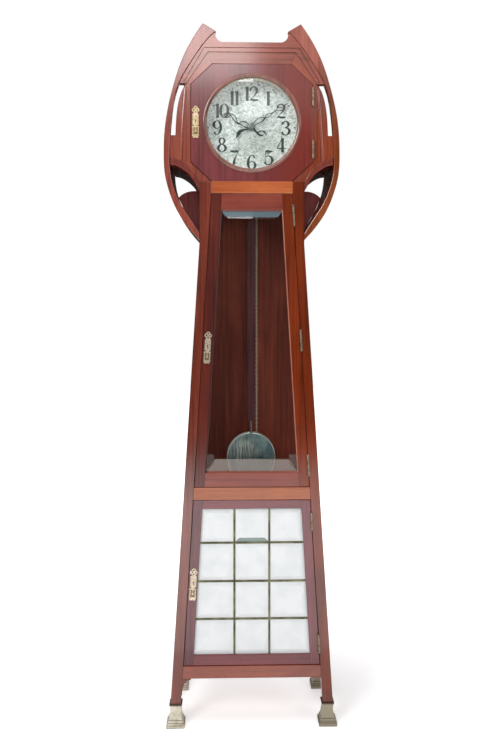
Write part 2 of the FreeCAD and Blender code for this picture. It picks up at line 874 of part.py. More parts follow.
# Escutcheons: a pierced head, a neck, the body with the keyhole, a waist, and below it a rimmed panel with its pull.
def escutcheon(x, z, tilt):
    top = plate_length / 2
    lobe = plate_lobe_radius
    lobes = (
        (0, top - lobe), (-plate_lobe_reach, top - lobe * 2), (plate_lobe_reach, top - lobe * 2),
        (0, top - lobe * 3),
    )
    body_top = lobes[-1][1] - plate_neck_length
    body_bottom = -plate_waist_drop
    panel_top = body_bottom - plate_waist_length
    panel_bottom = plate_foot_length - top
    plate = None
    for width, low, high in (
        (plate_neck_width, body_top, lobes[1][1]), (plate_body_width, body_bottom, body_top),
        (plate_waist_width, panel_top, body_bottom), (plate_width, panel_bottom, panel_top),
        (plate_foot_width, -top, panel_bottom),
    ):
        bar = box(-width / 2, width / 2, -plate_thickness, 0, low, high)
        plate = bar if plate is None else plate.fuse(bar)
    for dx, dz in lobes:
        plate = plate.fuse(cylinder_y(dx, dz, lobe, -plate_thickness, 0))
    for dx, dz in lobes:
        plate = plate.cut(cylinder_y(dx, dz, plate_hole_radius, -overrun, overrun))
    keyhole = cylinder_y(0, lobe, keyhole_radius, -overrun, overrun)
    slot = keyhole_slot / 2
    keyhole = keyhole.fuse(box(-slot, slot, -overrun, overrun, lobe - keyhole_length, lobe))
    plate = plate.cut(keyhole)
    w = plate_width / 2 - plate_rim_margin
    low = panel_bottom + plate_rim_margin
    high = panel_top - plate_rim_margin
    rim_front = -plate_thickness - plate_rim_height
    rim = box(-w, w, rim_front, -plate_thickness, low, high)
    edge = plate_rim_width
    rim = rim.cut(box(-w + edge, w - edge, rim_front - overrun, 0, low + edge, high - edge))
    plate = plate.fuse(rim)
    pull_top = high - edge
    pull_z = pull_top - pull_length
    neck = pull_neck_width / 2
    plate = plate.fuse(box(-neck, neck, rim_front, -plate_thickness, pull_z, pull_top))
    plate = plate.fuse(cylinder_y(0, pull_z, pull_radius, rim_front - plate_rim_height, -plate_thickness))
    plate = plate.removeSplitter()
    plate.rotate(V(0, 0, 0), V(0, 1, 0), tilt)
    plate.translate(V(x, door_front, z))
    return plate


tilt_degrees = math.degrees(math.atan(doorway_slope))
hood_plate_half = hood_half - hood_plate_inset
hood_plate_height = dial_height + hood_plate_rise
waist_plate_height = (mid_rail_top + doorway_top) / 2 - waist_plate_drop
lower_plate_height = (bottom_rail_top + mid_rail_bottom) / 2 - lower_plate_drop
waist_plate_half = doorway(waist_plate_height) - door_gap - waist_stile / 2
lower_plate_half = doorway(lower_plate_height) - door_gap - lower_stile / 2
export("escutcheon_hood", escutcheon(-hood_plate_half, hood_plate_height, 0))
export("escutcheon_waist", escutcheon(-waist_plate_half, waist_plate_height, tilt_degrees))
export("escutcheon_lower", escutcheon(-lower_plate_half, lower_plate_height, tilt_degrees))

# Hinges: the pin and end knuckles belong to the case leaf, the middle knuckle to the door leaf.
hinge_y = front - knuckle_radius - knuckle_clearance


def hinge(length, x, z, tilt):
    third = length / 3
    half_length = length / 2
    gap = knuckle_gap
    case = Part.makeCylinder(hinge_pin_radius, length, V(0, 0, -half_length))
    for z0 in (-half_length, third / 2 + gap):
        case = case.fuse(Part.makeCylinder(knuckle_radius, third - gap, V(0, 0, z0)))
    edge = door_gap / 2 * math.cos(math.radians(tilt))
    leaf_y0 = 0
    leaf_y1 = leaf_width
    case_leaf = box(edge - leaf_thickness, edge, leaf_y0, leaf_y1, -half_length, half_length)
    keep_clear = box(-knuckle_radius, edge, -knuckle_radius, knuckle_radius + gap, -third / 2 - gap, third / 2 + gap)
    case_leaf = case_leaf.cut(keep_clear)
    case = case.fuse(case_leaf)
    door = Part.makeCylinder(knuckle_radius, third, V(0, 0, -third / 2))
    door_leaf = box(-edge, -edge + leaf_thickness, leaf_y0, leaf_y1, -half_length, half_length)
    for z0 in (-half_length, third / 2):
        clear = box(
            -edge, edge, -knuckle_radius, knuckle_radius + gap, z0 - gap, z0 + third + gap,
        )
        door_leaf = door_leaf.cut(clear)
    door = door.fuse(door_leaf)
    door = door.cut(Part.makeCylinder(
        hinge_pin_radius + running_clearance, length * 2, V(0, 0, -length),
    ))
    for shape in (case, door):
        shape.rotate(V(0, 0, 0), V(0, 1, 0), -tilt)
        shape.translate(V(x, hinge_y, z))
    return case, door


case_leaves = []
for name, heights, length in (
    ("hood", hood_hinge_heights, hood_hinge_length),
    ("waist", waist_hinge_heights, waist_hinge_length),
    ("lower", lower_hinge_heights, lower_hinge_length),
):
    door_leaves = []
    for z in heights:
        if name == "hood":
            case_leaf, door_leaf = hinge(length, hood_half + door_gap / 2, z, 0)
        else:
            case_leaf, door_leaf = hinge(length, doorway(z) - door_gap / 2, z, tilt_degrees)
        case_leaves.append(case_leaf)
        door_leaves.append(door_leaf)
    export("hinge_leaves_" + name, Part.makeCompound(door_leaves))
export("hinge_leaves_case", Part.makeCompound(case_leaves))

# Dial with its rim and four feet.
dial_back = dial_front + dial_thickness
dial = cylinder_y(0, dial_height, dial_radius, dial_front, dial_back)
dial = dial.fuse(ring_y(0, dial_height, dial_radius, dial_radius - dial_rim,
                        dial_front - dial_rim_height, dial_front))
dial = dial.cut(cylinder_y(0, dial_height, dial_hole_radius, front, back))
for x in (-dial_foot_half, dial_foot_half):
    for z in dial_foot_heights:
        dial = dial.fuse(cylinder_y(x, z, dial_foot_radius, dial_back, front_plate_front))
export("dial", dial)


# Hands: a slim stem with a pierced leaf, a round boss and a curved tail.
def hand(length, degrees, y0, bore, stem_scale, tail_side):
    y1 = y0 + hand_thickness
    h = hand_stem_half * stem_scale
    leaf_start = length * 0.46
    leaf_mid = length * 0.62
    leaf_end = length * 0.8
    leaf_half = h * 3.4
    right = [
        (h, 0), (h, leaf_start), (leaf_half, leaf_mid), (h, leaf_end), (h / 2, length),
    ]
    outline = right + [(-x, z) for x, z in reversed(right)]
    body = prism(outline, y0, y1)
    hole_half = leaf_half - h * 1.1
    hole = [
        (0, leaf_start + h), (hole_half, leaf_mid), (0, leaf_end - h), (-hole_half, leaf_mid),
    ]
    body = body.cut(prism(hole, y0 - overrun, y1 + overrun))
    body = body.fuse(cylinder_y(0, 0, hand_boss_radius * stem_scale, y0, y1))
    tail = [
        (-h, 0), (h, 0), (h + hand_tail * 0.12, -hand_tail * 0.5),
        (h * 2 + hand_tail * 0.3, -hand_tail * 0.72), (hand_tail * 0.42, -hand_tail),
        (hand_tail * 0.2, -hand_tail * 0.8), (hand_tail * 0.06, -hand_tail * 0.5),
    ]
    tail = [(tail_side * x, z) for x, z in tail]
    body = body.fuse(prism(tail, y0, y1))
    body = body.cut(cylinder_y(0, 0, bore, y0 - overrun, y1 + overrun))
    body.rotate(V(0, 0, 0), V(0, 1, 0), degrees)
    body.translate(V(0, 0, dial_height))
    return body


hour_hand_scale = 1.25
export("hour_hand", hand(hour_hand_length, hour_hand_degrees, hour_hand_front, hour_pipe_radius,
                         hour_hand_scale, 1))
export("minute_hand", hand(minute_hand_length, minute_hand_degrees, minute_hand_front, cannon_radius,
                           1, -1))
nut = cylinder_y(0, dial_height, nut_radius, minute_hand_front - nut_length, minute_hand_front)
export("hand_nut", nut)


# Wheels of the movement
def gear(teeth, x, z, y0, y1, phase, bore):
    pitch_radius = gear_module * teeth / 2
    tip = pitch_radius + gear_module * addendum_share
    root = pitch_radius - gear_module * dedendum_share
    step = 2 * math.pi / teeth
    points = []
    for i in range(teeth):
        mid = math.radians(phase) + i * step
        wide = step * tooth_share / 2 * pitch_radius / root
        slim = wide * 0.55
        for radius, offset in ((root, -wide), (tip, -slim), (tip, slim), (root, wide)):
            points.append((x + radius * math.cos(mid + offset), z + radius * math.sin(mid + offset)))
    body = prism(points, y0, y1)
    if bore:
        body = body.cut(cylinder_y(x, z, bore, y0 - overrun, y1 + overrun))
    return body


def crossed(body, radius, x, z, y0, y1):
    rim = ring_y(x, z, radius * rim_share, hub_radius, y0 - overrun, y1 + overrun)
    for i in range(crossing_count):
        spoke = box(x, x + radius, y0 - overrun, y1 + overrun, z - crossing_width / 2, z + crossing_width / 2)
        spoke.rotate(V(x, y0, z), V(0, 1, 0), 45 + i * 360 / crossing_count)
        rim = rim.cut(spoke)
    return body.cut(rim)


def meshing_phase(teeth_a, phase_a, teeth_b, direction):
    # A tooth of wheel a that faces wheel b must meet a gap of wheel b.
    step_a = 360 / teeth_a
    step_b = 360 / teeth_b
    offset = ((direction - phase_a) / step_a) % 1
    facing = direction + 180
    return facing + (offset + 0.5) * step_b


train_distance = gear_module * (train_teeth + pinion_leaves) / 2
escape_distance = gear_module * (third_teeth + pinion_leaves) / 2
great_x = train_distance * math.cos(math.radians(great_angle))
great_z = dial_height + train_distance * math.sin(math.radians(great_angle))
third_x = train_distance * math.cos(math.radians(third_angle))
third_z = dial_height + train_distance * math.sin(math.radians(third_angle))
escape_x = 0
escape_z = third_z - math.sqrt(escape_distance ** 2 - third_x ** 2)
escape_direction = math.degrees(math.atan2(escape_z - third_z, escape_x - third_x))
pivot_z = dial_height - pivot_drop
plate_back = back_plate_front + movement_plate
front_plate_back = front_plate_front + movement_plate
arbor_bore = arbor_radius + running_clearance
train_radius = gear_module * train_teeth / 2
third_radius = gear_module * third_teeth / 2


def plate(y0):
    body = box(-plate_half, plate_half, y0, y0 + movement_plate, plate_low, plate_high)
    for x, z in ((great_x, great_z), (0, dial_height), (third_x, third_z), (escape_x, escape_z)):
        body = body.cut(cylinder_y(x, z, arbor_bore, y0 - overrun, y0 + movement_plate + overrun))
    return body


front_plate = plate(front_plate_front)
front_plate = front_plate.cut(cylinder_y(0, pivot_z, arbor_bore, front, back))
pieces = [front_plate, plate(back_plate_front)]
for x in (-pillar_half, pillar_half):
    for z in pillar_heights:
        pieces.append(cylinder_y(x, z, pillar_radius, front_plate_back, back_plate_front))
export("movement_frame", Part.makeCompound(pieces))

pinion_lead = (pinion_length - wheel_thickness) / 2


def pinion(x, z, layer, phase):
    return gear(pinion_leaves, x, z, layer - pinion_lead, layer + wheel_thickness + pinion_lead, phase, 0)


def train_wheel(teeth, radius, x, z, layer, phase):
    body = gear(teeth, x, z, layer, layer + wheel_thickness, phase, 0)
    return crossed(body, radius, x, z, layer, layer + wheel_thickness)


great_phase = 0
great = train_wheel(train_teeth, train_radius, great_x, great_z, great_layer, great_phase)
great = great.fuse(cylinder_y(great_x, great_z, arbor_radius, front_plate_front, sprocket_layer + sprocket_width))
great = great.fuse(cylinder_y(great_x, great_z, sprocket_radius, sprocket_layer - sprocket_width / 2,
                              sprocket_layer + sprocket_width / 2))
export("great_wheel", great)

center_pinion_phase = meshing_phase(train_teeth, great_phase, pinion_leaves, great_angle + 180)
center_phase = 0
center = train_wheel(train_teeth, train_radius, 0, dial_height, center_layer, center_phase)
center = center.fuse(pinion(0, dial_height, great_layer, center_pinion_phase))
center = center.fuse(cylinder_y(0, dial_height, arbor_radius, motion_back_layer, plate_back))
cannon_phase = 0
center = center.fuse(cylinder_y(0, dial_height, cannon_radius, minute_hand_front,
                                front_plate_front - running_clearance))
center = center.fuse(gear(motion_cannon_teeth, 0, dial_height, motion_back_layer,
                          motion_back_layer + wheel_thickness, cannon_phase, 0))
export("center_wheel", center)

third_pinion_phase = meshing_phase(train_teeth, center_phase, pinion_leaves, third_angle)
third_phase = 0
third = train_wheel(third_teeth, third_radius, third_x, third_z, third_layer, third_phase)
third = third.fuse(pinion(third_x, third_z, center_layer, third_pinion_phase))
third = third.fuse(cylinder_y(third_x, third_z, arbor_radius, front_plate_front, plate_back))
export("third_wheel", third)

escape_pinion_phase = meshing_phase(third_teeth, third_phase, pinion_leaves, escape_direction)
tooth_points = []
for i in range(escape_teeth):
    a = 2 * math.pi * i / escape_teeth
    b = a + 2 * math.pi / escape_teeth * 0.35
    for radius, angle in ((escape_root, a), (escape_radius, a), (escape_root, b)):
        tooth_points.append((escape_x + radius * math.cos(angle), escape_z + radius * math.sin(angle)))
escape_back = escape_layer + wheel_thickness
escape = prism(tooth_points, escape_layer, escape_back)
escape = crossed(escape, escape_root, escape_x, escape_z, escape_layer, escape_back)
escape = escape.fuse(pinion(escape_x, escape_z, third_layer, escape_pinion_phase))
escape = escape.fuse(cylinder_y(escape_x, escape_z, arbor_radius, escape_layer, plate_back))
export("escape_wheel", escape)

# Anchor with its pallets and the crutch that carries the pendulum's beat.
anchor_front = escape_layer
anchor = cylinder_y(0, pivot_z, arbor_radius, crutch_layer, front_plate_back)
anchor = anchor.fuse(cylinder_y(0, pivot_z, hub_radius * 0.6, anchor_front, anchor_front + wheel_thickness))
for side in (-1, 1):
    angle = math.radians(pallet_angle)
    px = side * pallet_radius * math.sin(angle)
    pz = escape_z + pallet_radius * math.cos(angle)
    outward = (side * math.sin(angle), math.cos(angle))
    along = (outward[1], -outward[0])
    w = pallet_size / 2
    pad = prism([
        (px - along[0] * w, pz - along[1] * w), (px + along[0] * w, pz + along[1] * w),
        (px + along[0] * w + outward[0] * pallet_size, pz + along[1] * w + outward[1] * pallet_size),
        (px - along[0] * w + outward[0] * pallet_size, pz - along[1] * w + outward[1] * pallet_size),
    ], anchor_front, anchor_front + wheel_thickness)
    qx = px + outward[0] * pallet_size * 0.6
    qz = pz + outward[1] * pallet_size * 0.6
    arm = prism([(0, pivot_z - arbor_radius), (0, pivot_z + arbor_radius), (qx, qz + w), (qx, qz - w)]
                if side > 0 else
                [(0, pivot_z + arbor_radius), (0, pivot_z - arbor_radius), (qx, qz - w), (qx, qz + w)],
                anchor_front, anchor_front + wheel_thickness)
    anchor = anchor.fuse(pad).fuse(arm)
crutch_back = crutch_layer + crutch_thickness
crutch_end = pivot_z - crutch_length
anchor = anchor.fuse(box(-crutch_width / 2, crutch_width / 2, crutch_layer, crutch_back, crutch_end, pivot_z))
pin_z = crutch_end + crutch_width / 2
anchor = anchor.fuse(cylinder_y(0, pin_z, crutch_pin_radius, rod_front, crutch_back))
export("anchor", anchor)

# Motion work
minute_x = gear_module * (motion_cannon_teeth + motion_minute_teeth) / 2
minute_phase = meshing_phase(motion_cannon_teeth, cannon_phase, motion_minute_teeth, 0)
minute_wheel = gear(motion_minute_teeth, minute_x, dial_height, motion_back_layer,
                    motion_back_layer + wheel_thickness, minute_phase, 0)
minute_pinion_phase = 0
minute_wheel = minute_wheel.fuse(gear(
    motion_pinion_teeth, minute_x, dial_height, motion_front_layer,
    motion_back_layer, minute_pinion_phase, 0,
))
minute_wheel = minute_wheel.fuse(cylinder_y(
    minute_x, dial_height, minute_post_radius, motion_back_layer, front_plate_front,
))
export("minute_wheel", minute_wheel)
hour_phase = meshing_phase(motion_pinion_teeth, minute_pinion_phase, motion_hour_teeth, 180)
hour_bore = cannon_radius + cannon_bore_clearance
hour_wheel = gear(motion_hour_teeth, 0, dial_height, motion_front_layer,
                  motion_front_layer + wheel_thickness, hour_phase, 0)
hour_wheel = hour_wheel.fuse(cylinder_y(0, dial_height, hour_pipe_radius, hour_hand_front,
                                        motion_front_layer + wheel_thickness))
hour_wheel = hour_wheel.cut(cylinder_y(0, dial_height, hour_bore, front, back))
export("hour_wheel", hour_wheel)

# Seatboard carries the movement and has two holes for the chain.
seat = box(-hood_inner_half, hood_inner_half, seat_front, back_inner, plate_low - seat_thickness, plate_low)
chain_x = sprocket_radius + chain_play + chain_radius
for x in (-chain_x, chain_x):
    seat = seat.cut(Part.makeCylinder(chain_hole_radius, seat_thickness * 3,
                                      V(x, sprocket_layer, plate_low - seat_thickness * 2)))
export("seatboard", seat)

# Pendulum cock: a bar from the front plate with two cheeks and a pin.
bar_low = pivot_z + cock_lift
cock = box(-cock_width / 2, cock_width / 2, rod_front - cock_cheek - cheek_play, front_plate_front,
           bar_low, bar_low + cock_bar)
rod_back = rod_front + rod_depth
cheek_front = rod_front - cock_cheek - cheek_play
for y0 in (cheek_front, rod_back + cheek_play):
    cock = cock.fuse(box(-cock_width / 2, cock_width / 2, y0, y0 + cock_cheek, pivot_z - cock_drop, bar_low))
cock = cock.fuse(cylinder_y(0, pivot_z, hinge_pin_radius, cheek_front, rod_back + cheek_play + cock_cheek))
export("pendulum_cock", cock)

# Suspension spring: an eye on the pin, the thin strip and the lower chops.
rod_mid = (rod_front + rod_back) / 2
eye_bore = hinge_pin_radius + running_clearance
spring = cylinder_y(0, pivot_z, eye_radius, rod_front, rod_back)
strip = box(-spring_width / 2, spring_width / 2, rod_mid - spring_thickness / 2, rod_mid + spring_thickness / 2,
            rod_top, pivot_z)
chops = box(-spring_width / 2, spring_width / 2, rod_front, rod_back, rod_top, rod_top + chop_height)
spring = spring.fuse(strip).fuse(chops)
spring = spring.cut(cylinder_y(0, pivot_z, eye_bore, front, back))
export("suspension_spring", spring)

rod = box(-rod_width / 2, rod_width / 2, rod_front, rod_back, rod_bottom, rod_top)
slot_half = crutch_pin_radius + crutch_slot_clearance
rod = rod.cut(box(-slot_half, slot_half, rod_front - overrun, rod_back + overrun,
                  pin_z - slot_half * 3, pin_z + slot_half * 3))
export("pendulum_rod", rod)

# Bob: a flat disc with a raised rim and a notch at the top.
bob_rim_half = bob_half_thickness + bob_rim_rise
bob_face_radius = bob_radius - bob_rim
near_profile = [
    (0, -bob_half_thickness), (bob_face_radius - bob_chamfer, -bob_half_thickness),
    (bob_face_radius, -bob_rim_half), (bob_radius - bob_chamfer, -bob_rim_half),
    (bob_radius, -bob_rim_half + bob_chamfer),
]
profile = near_profile + [(r, -y) for r, y in reversed(near_profile)]
corners = [V(r, y, 0) for r, y in profile]
bob = Part.Face(Part.makePolygon(corners + [corners[0]])).revolve(V(0, 0, 0), V(0, 1, 0), 360)
bob.translate(V(0, rod_mid, bob_height))
bob_top = bob_height + bob_radius
notch = prism([(-bob_notch_half, bob_top + bob_notch_depth), (0, bob_top - bob_notch_depth),
               (bob_notch_half, bob_top + bob_notch_depth)], front, back)
bob = bob.cut(notch)
bob = bob.cut(Part.makeCylinder(tail_radius, total_height, V(0, rod_mid, 0)))
export("bob", bob)
tail = Part.makeCylinder(tail_radius, rod_bottom - tail_bottom, V(0, rod_mid, tail_bottom))
bob_bottom = bob_height - bob_radius
rating_nut = Part.makeCylinder(rating_nut_radius, rating_nut_height, V(0, rod_mid, bob_bottom - rating_nut_height))
export("rating_rod", tail.fuse(rating_nut))

# Chain down to the weight, its turn over the sprocket with the free end, and the weight.
chain = Part.makeCylinder(chain_radius, great_z - weight_hook_top, V(chain_x, sprocket_layer, weight_hook_top))
export("chain", chain)
wrap = Part.makeTorus(chain_x, chain_radius, V(0, sprocket_layer, great_z), V(0, 1, 0))
wrap = wrap.common(box(-chain_x * 2, chain_x * 2, 0, back, great_z, total_height))
loose = Part.makeCylinder(chain_radius, great_z - chain_tail_bottom, V(-chain_x, sprocket_layer, chain_tail_bottom))
export("chain_tail", wrap.fuse(loose))
weight = Part.makeCylinder(weight_radius, weight_top - weight_bottom, V(chain_x, sprocket_layer, weight_bottom))
weight = weight.makeChamfer(weight_shoulder, weight.Edges)
weight = weight.fuse(Part.makeCylinder(weight_hook_radius, weight_hook_top - weight_top,
                                       V(chain_x, sprocket_layer, weight_top)))
export("weight", weight)
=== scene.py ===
import bmesh
import bpy
import math
from mathutils import Matrix, Vector


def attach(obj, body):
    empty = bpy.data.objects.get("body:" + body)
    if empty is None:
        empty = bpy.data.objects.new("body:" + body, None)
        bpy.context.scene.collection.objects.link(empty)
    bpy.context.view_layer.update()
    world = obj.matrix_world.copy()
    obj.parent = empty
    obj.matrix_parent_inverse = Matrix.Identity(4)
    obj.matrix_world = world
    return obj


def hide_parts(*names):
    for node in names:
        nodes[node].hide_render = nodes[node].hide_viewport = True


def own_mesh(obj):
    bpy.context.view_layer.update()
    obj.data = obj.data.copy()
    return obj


# A tapering mahogany longcase clock. Metres, X to the viewer's right, Y to the back, Z up.
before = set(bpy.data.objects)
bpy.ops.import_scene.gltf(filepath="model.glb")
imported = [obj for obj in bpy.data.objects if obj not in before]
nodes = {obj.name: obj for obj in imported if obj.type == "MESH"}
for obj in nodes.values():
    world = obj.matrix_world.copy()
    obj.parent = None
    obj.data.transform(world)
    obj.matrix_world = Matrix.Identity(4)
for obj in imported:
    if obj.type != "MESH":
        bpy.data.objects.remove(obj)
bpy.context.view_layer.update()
scene = bpy.context.scene
MM = 0.001
LEVEL = math.pi / 2  # the lean of grain that runs across a board

# Places on the clock that more than one piece or finish needs.
dial_face = -0.065
dial_centre = Vector((0, dial_face, 1.803))
door_face = -0.1285
sight_low, sight_high = 0.756, 1.542  # the waist door's opening
# A door's joint is how far from the middle its stiles would meet its rails at the floor. The joints lean in with
# height as the stiles do.
stile_slope = 0.059
waist_joint = 0.18443
lower_joint = 0.18643


# Building helpers

def colour(code):
    """An sRGB hex value as linear colour."""
    parts = [int(code[i:i + 2], 16) / 255 for i in (0, 2, 4)]
    return tuple(c / 12.92 if c <= 0.04045 else ((c + 0.055) / 1.055) ** 2.4 for c in parts) + (1.0,)


def add(tree, kind, inputs=None, stops=None, **settings):
    """Adds a node with its settings, its links and, for a ramp, its stops.

    A shader node's kind is given without ShaderNode. An input that is a node is linked from its first live output.
    """
    node = tree.nodes.new(kind if "Node" in kind else "ShaderNode" + kind)
    for name, value in settings.items():
        setattr(node, name, value)
    for key, value in (inputs or {}).items():
        if isinstance(value, bpy.types.Node):
            value = next(output for output in value.outputs if output.enabled)
        if isinstance(value, bpy.types.NodeSocket):
            tree.links.new(value, node.inputs[key])
        else:
            node.inputs[key].default_value = value
    if stops:
        ramp = node.color_ramp
        while len(ramp.elements) < len(stops):
            ramp.elements.new(0.5)
        for element, (place, tone) in zip(ramp.elements, stops):
            element.position = place
            element.color = tone if not isinstance(tone, (int, float)) else (tone, tone, tone, 1)
    return node


def calc(tree, operation, *terms):
    """A Math node on one to three terms."""
    return add(tree, "Math", dict(enumerate(terms)), operation=operation)


def remap(tree, value, start, end, first=0.0, last=1.0):
    """Runs from first to last while the value runs from start to end, and stays level beyond them."""
    return add(tree, "MapRange", {"Value": value, "From Min": start, "From Max": end, "To Min": first, "To Max": last})


def mix_tints(tree, share, tint, other, blend="MIX"):
    """A tint with a share of another mixed or multiplied in."""
    return add(tree, "Mix", {0: share, 6: tint, 7: other}, data_type="RGBA", blend_type=blend)


def new_material(name):
    """An empty material, its node tree, and the place on the piece that its patterns follow."""
    material = bpy.data.materials.new(name)
    material.use_nodes = True
    tree = material.node_tree
    tree.nodes.clear()
    return material, tree, add(tree, "TexCoord").outputs["Object"]


def surfaced(material, shader):
    """The material with the shader as its surface."""
    add(material.node_tree, "OutputMaterial", {"Surface": shader})
    return material


def finish(material, *names):
    """Gives solids of the frame their finish."""
    for name in names:
        slots = nodes[name].data.materials
        slots.clear()
        slots.append(material)
    return material


def piece_from(mesh, name, material, body, replaces=()):
    """A finished piece at the origin, riding on its body."""
    piece = bpy.data.objects.new(name, mesh)
    scene.collection.objects.link(piece)
    mesh.materials.clear()
    mesh.materials.append(material)
    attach(piece, body)
    if replaces:
        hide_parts(*replaces)
    return piece


def skin(bm, rows, closed=True):
    """Faces from each row of points to the next, and from the last to the first where the form closes."""
    for a, b in zip(rows, rows[1:] + (rows[:1] if closed else [])):
        for k in range(len(a)):
            after = (k + 1) % len(a)
            bm.faces.new((a[k], a[after], b[after], b[k]))


def mesh_of(bm, name, smooth_to=None):
    """A mesh that is closed and faces outwards. Edges blunter than smooth_to degrees are shaded smooth."""
    bmesh.ops.remove_doubles(bm, verts=bm.verts, dist=1e-6)
    bmesh.ops.recalc_face_normals(bm, faces=bm.faces)
    mesh = bpy.data.meshes.new(name)
    bm.to_mesh(mesh)
    bm.free()
    if smooth_to:
        mesh.shade_smooth()
        mesh.set_sharp_from_angle(angle=math.radians(smooth_to))
    return mesh


# Materials

def wood_figure(tree, position, tones, lean=0.0):
    """Colour and pore height of mahogany. The grain runs up the board, or leans by an angle in the front plane."""
    pale, deep, line = tones
    layers = []
    for across, along, detail, roughness, wave in (
            (6 * MM, 0.35, 4.0, 0.6, 0.3),  # growth streaks
            (60 * MM, 0.28, 3.0, 0.5, 0.6),  # broad lighter and darker figure, a little wavy
            (1.2 * MM, 25 * MM, 2.0, 0.5, 0.0)):  # pores, really 0.2 mm wide, drawn wider so that they show
        board = add(tree, "Mapping", {
            "Vector": position, "Rotation": (0, lean, 0), "Scale": (across, across, along)}, vector_type="TEXTURE")
        layers.append(add(tree, "TexNoise", {
            "Vector": board, "Scale": 1.0, "Detail": detail, "Roughness": roughness, "Distortion": wave}))
    streaks, figure, pores = layers
    blend = add(tree, "Mix", {0: 0.5, 2: streaks, 3: figure})
    tint = add(tree, "ValToRGB", {0: blend}, stops=[(0.32, colour(line)), (0.47, colour(deep)), (0.64, colour(pale))])
    flecks = remap(tree, pores, 0.34, 0.5, 0.82, 1.0)
    return mix_tints(tree, 1.0, tint, flecks, "MULTIPLY"), pores


def polished(material, position, tint, height, gloss):
    """French polish: a clear shellac film over the coloured wood, a little uneven from the rubber."""
    tree = material.node_tree
    # Rubbing marks, 40 mm.
    rubbed = add(tree, "TexNoise", {"Vector": position, "Scale": 25.0, "Detail": 3.0})
    rough = remap(tree, rubbed, 0.3, 0.7, 0.36, 0.50)
    relief = add(tree, "Bump", {"Height": height, "Strength": 0.12, "Distance": 0.3 * MM})
    shader = add(tree, "BsdfPrincipled", {
        "Base Color": tint, "Roughness": rough, "Specular IOR Level": 0.08, "Normal": relief,
        "Coat Weight": gloss, "Coat Roughness": 0.13, "Coat IOR": 1.65})
    return surfaced(material, shader)


def faded(tree, position, tint, axis, start, end, shade_tint):
    """Painted shade: multiplies the colour by a darker tint, growing from start to end along one axis."""
    place = add(tree, "SeparateXYZ", {0: position}).outputs[axis]
    share = remap(tree, place, start, end)
    return mix_tints(tree, share, tint, colour(shade_tint), "MULTIPLY")


def seam(tree, tint, distance):
    """Darkens a glue line. It is a hair wide and is drawn 1.6 mm wide so that it shows."""
    near = calc(tree, "ABSOLUTE", distance)
    joint = remap(tree, near, 0.4 * MM, 1.2 * MM, 0.45)
    return mix_tints(tree, 1.0, tint, joint, "MULTIPLY")


def mahogany(name, tones, lean=0.0, gloss=0.9, painted_shade=None):
    """French polished Cuban mahogany: red-brown, soft streaks and short dark pores, deep gloss."""
    material, tree, position = new_material(name)
    tint, height = wood_figure(tree, position, tones, lean)
    # Painted shade, where asked: the colour darkens towards one end of an axis.
    if painted_shade:
        tint = faded(tree, position, tint, *painted_shade)
    return polished(material, position, tint, height, gloss)


def door_mahogany(name, left_tones, right_tones, rail_tones, joint, gloss):
    """A polished mahogany door frame: upright grain in the stiles, level grain in the rails between them."""
    material, tree, position = new_material(name)
    x, _, z = add(tree, "SeparateXYZ", {0: position}).outputs
    aside = calc(tree, "ABSOLUTE", x)
    reach = calc(tree, "MULTIPLY_ADD", z, stile_slope, aside)
    from_joint = calc(tree, "SUBTRACT", reach, joint)
    in_stile = calc(tree, "GREATER_THAN", from_joint, 0.0)
    on_right = calc(tree, "GREATER_THAN", x, 0.0)
    left, stile_height = wood_figure(tree, position, left_tones)
    right, _ = wood_figure(tree, position, right_tones)
    rail, rail_height = wood_figure(tree, position, rail_tones, LEVEL)
    stile = mix_tints(tree, on_right, left, right)
    tint = mix_tints(tree, in_stile, rail, stile)
    height = add(tree, "Mix", {0: in_stile, 2: rail_height, 3: stile_height})
    return polished(material, position, seam(tree, tint, from_joint), height, gloss)


def mitred_mahogany(name, tones):
    """The hood's front frame: polished mahogany strips, their grain along each side of the octagon.

    The strips on the right are painted a browner red as shade.
    """
    material, tree, position = new_material(name)
    x, y, z = add(tree, "SeparateXYZ", {0: position}).outputs
    aside = calc(tree, "ABSOLUTE", x)
    folded = add(tree, "CombineXYZ", {0: aside, 1: y, 2: z})
    # The upper mitre runs from the octagon's top corner, the lower one from its side corner.
    top_x, top_z, upper_lean = 0.119, 1.98, 0.36
    side_x, side_z, lower_lean = 0.1825, 1.919, 0.14
    upper = calc(tree, "MULTIPLY_ADD", z, -upper_lean, aside)
    past_upper = calc(tree, "SUBTRACT", upper, top_x - upper_lean * top_z)
    lower = calc(tree, "MULTIPLY_ADD", aside, -lower_lean, z)
    past_lower = calc(tree, "SUBTRACT", side_z - lower_lean * side_x, lower)
    over = calc(tree, "GREATER_THAN", past_upper, 0.0)
    under = calc(tree, "GREATER_THAN", past_lower, 0.0)
    top, top_height = wood_figure(tree, position, tones, LEVEL)
    corner, corner_height = wood_figure(tree, folded, tones, math.radians(-46))
    side, side_height = wood_figure(tree, position, tones)
    upper_tint = mix_tints(tree, over, top, corner)
    tint = mix_tints(tree, under, upper_tint, side)
    upper_height = add(tree, "Mix", {0: over, 2: top_height, 3: corner_height})
    height = add(tree, "Mix", {0: under, 2: upper_height, 3: side_height})
    lined = seam(tree, seam(tree, tint, past_upper), past_lower)
    # Painted shade: the right-hand strips are darkened to a browner red.
    shaded_to_right = faded(tree, position, lined, "X", 0.10, 0.19, "F4E4B4")
    return polished(material, position, shaded_to_right, height, gloss=0.9)


def dirty_panel(tree, position, tint, middle):
    """Darkens the sunk panel below a plate's keyhole."""
    below, half_height = 27 * MM, 10.8 * MM
    _, y, z = add(tree, "SeparateXYZ", {0: position}).outputs
    off_middle = calc(tree, "SUBTRACT", z, middle - below)
    away = calc(tree, "ABSOLUTE", off_middle)
    in_panel = calc(tree, "LESS_THAN", away, half_height)
    sunk = remap(tree, y, door_face - 3.0 * MM, door_face - 2.3 * MM)
    share = calc(tree, "MULTIPLY", in_panel, sunk)
    return mix_tints(tree, share, tint, colour("A89A84"), "MULTIPLY")


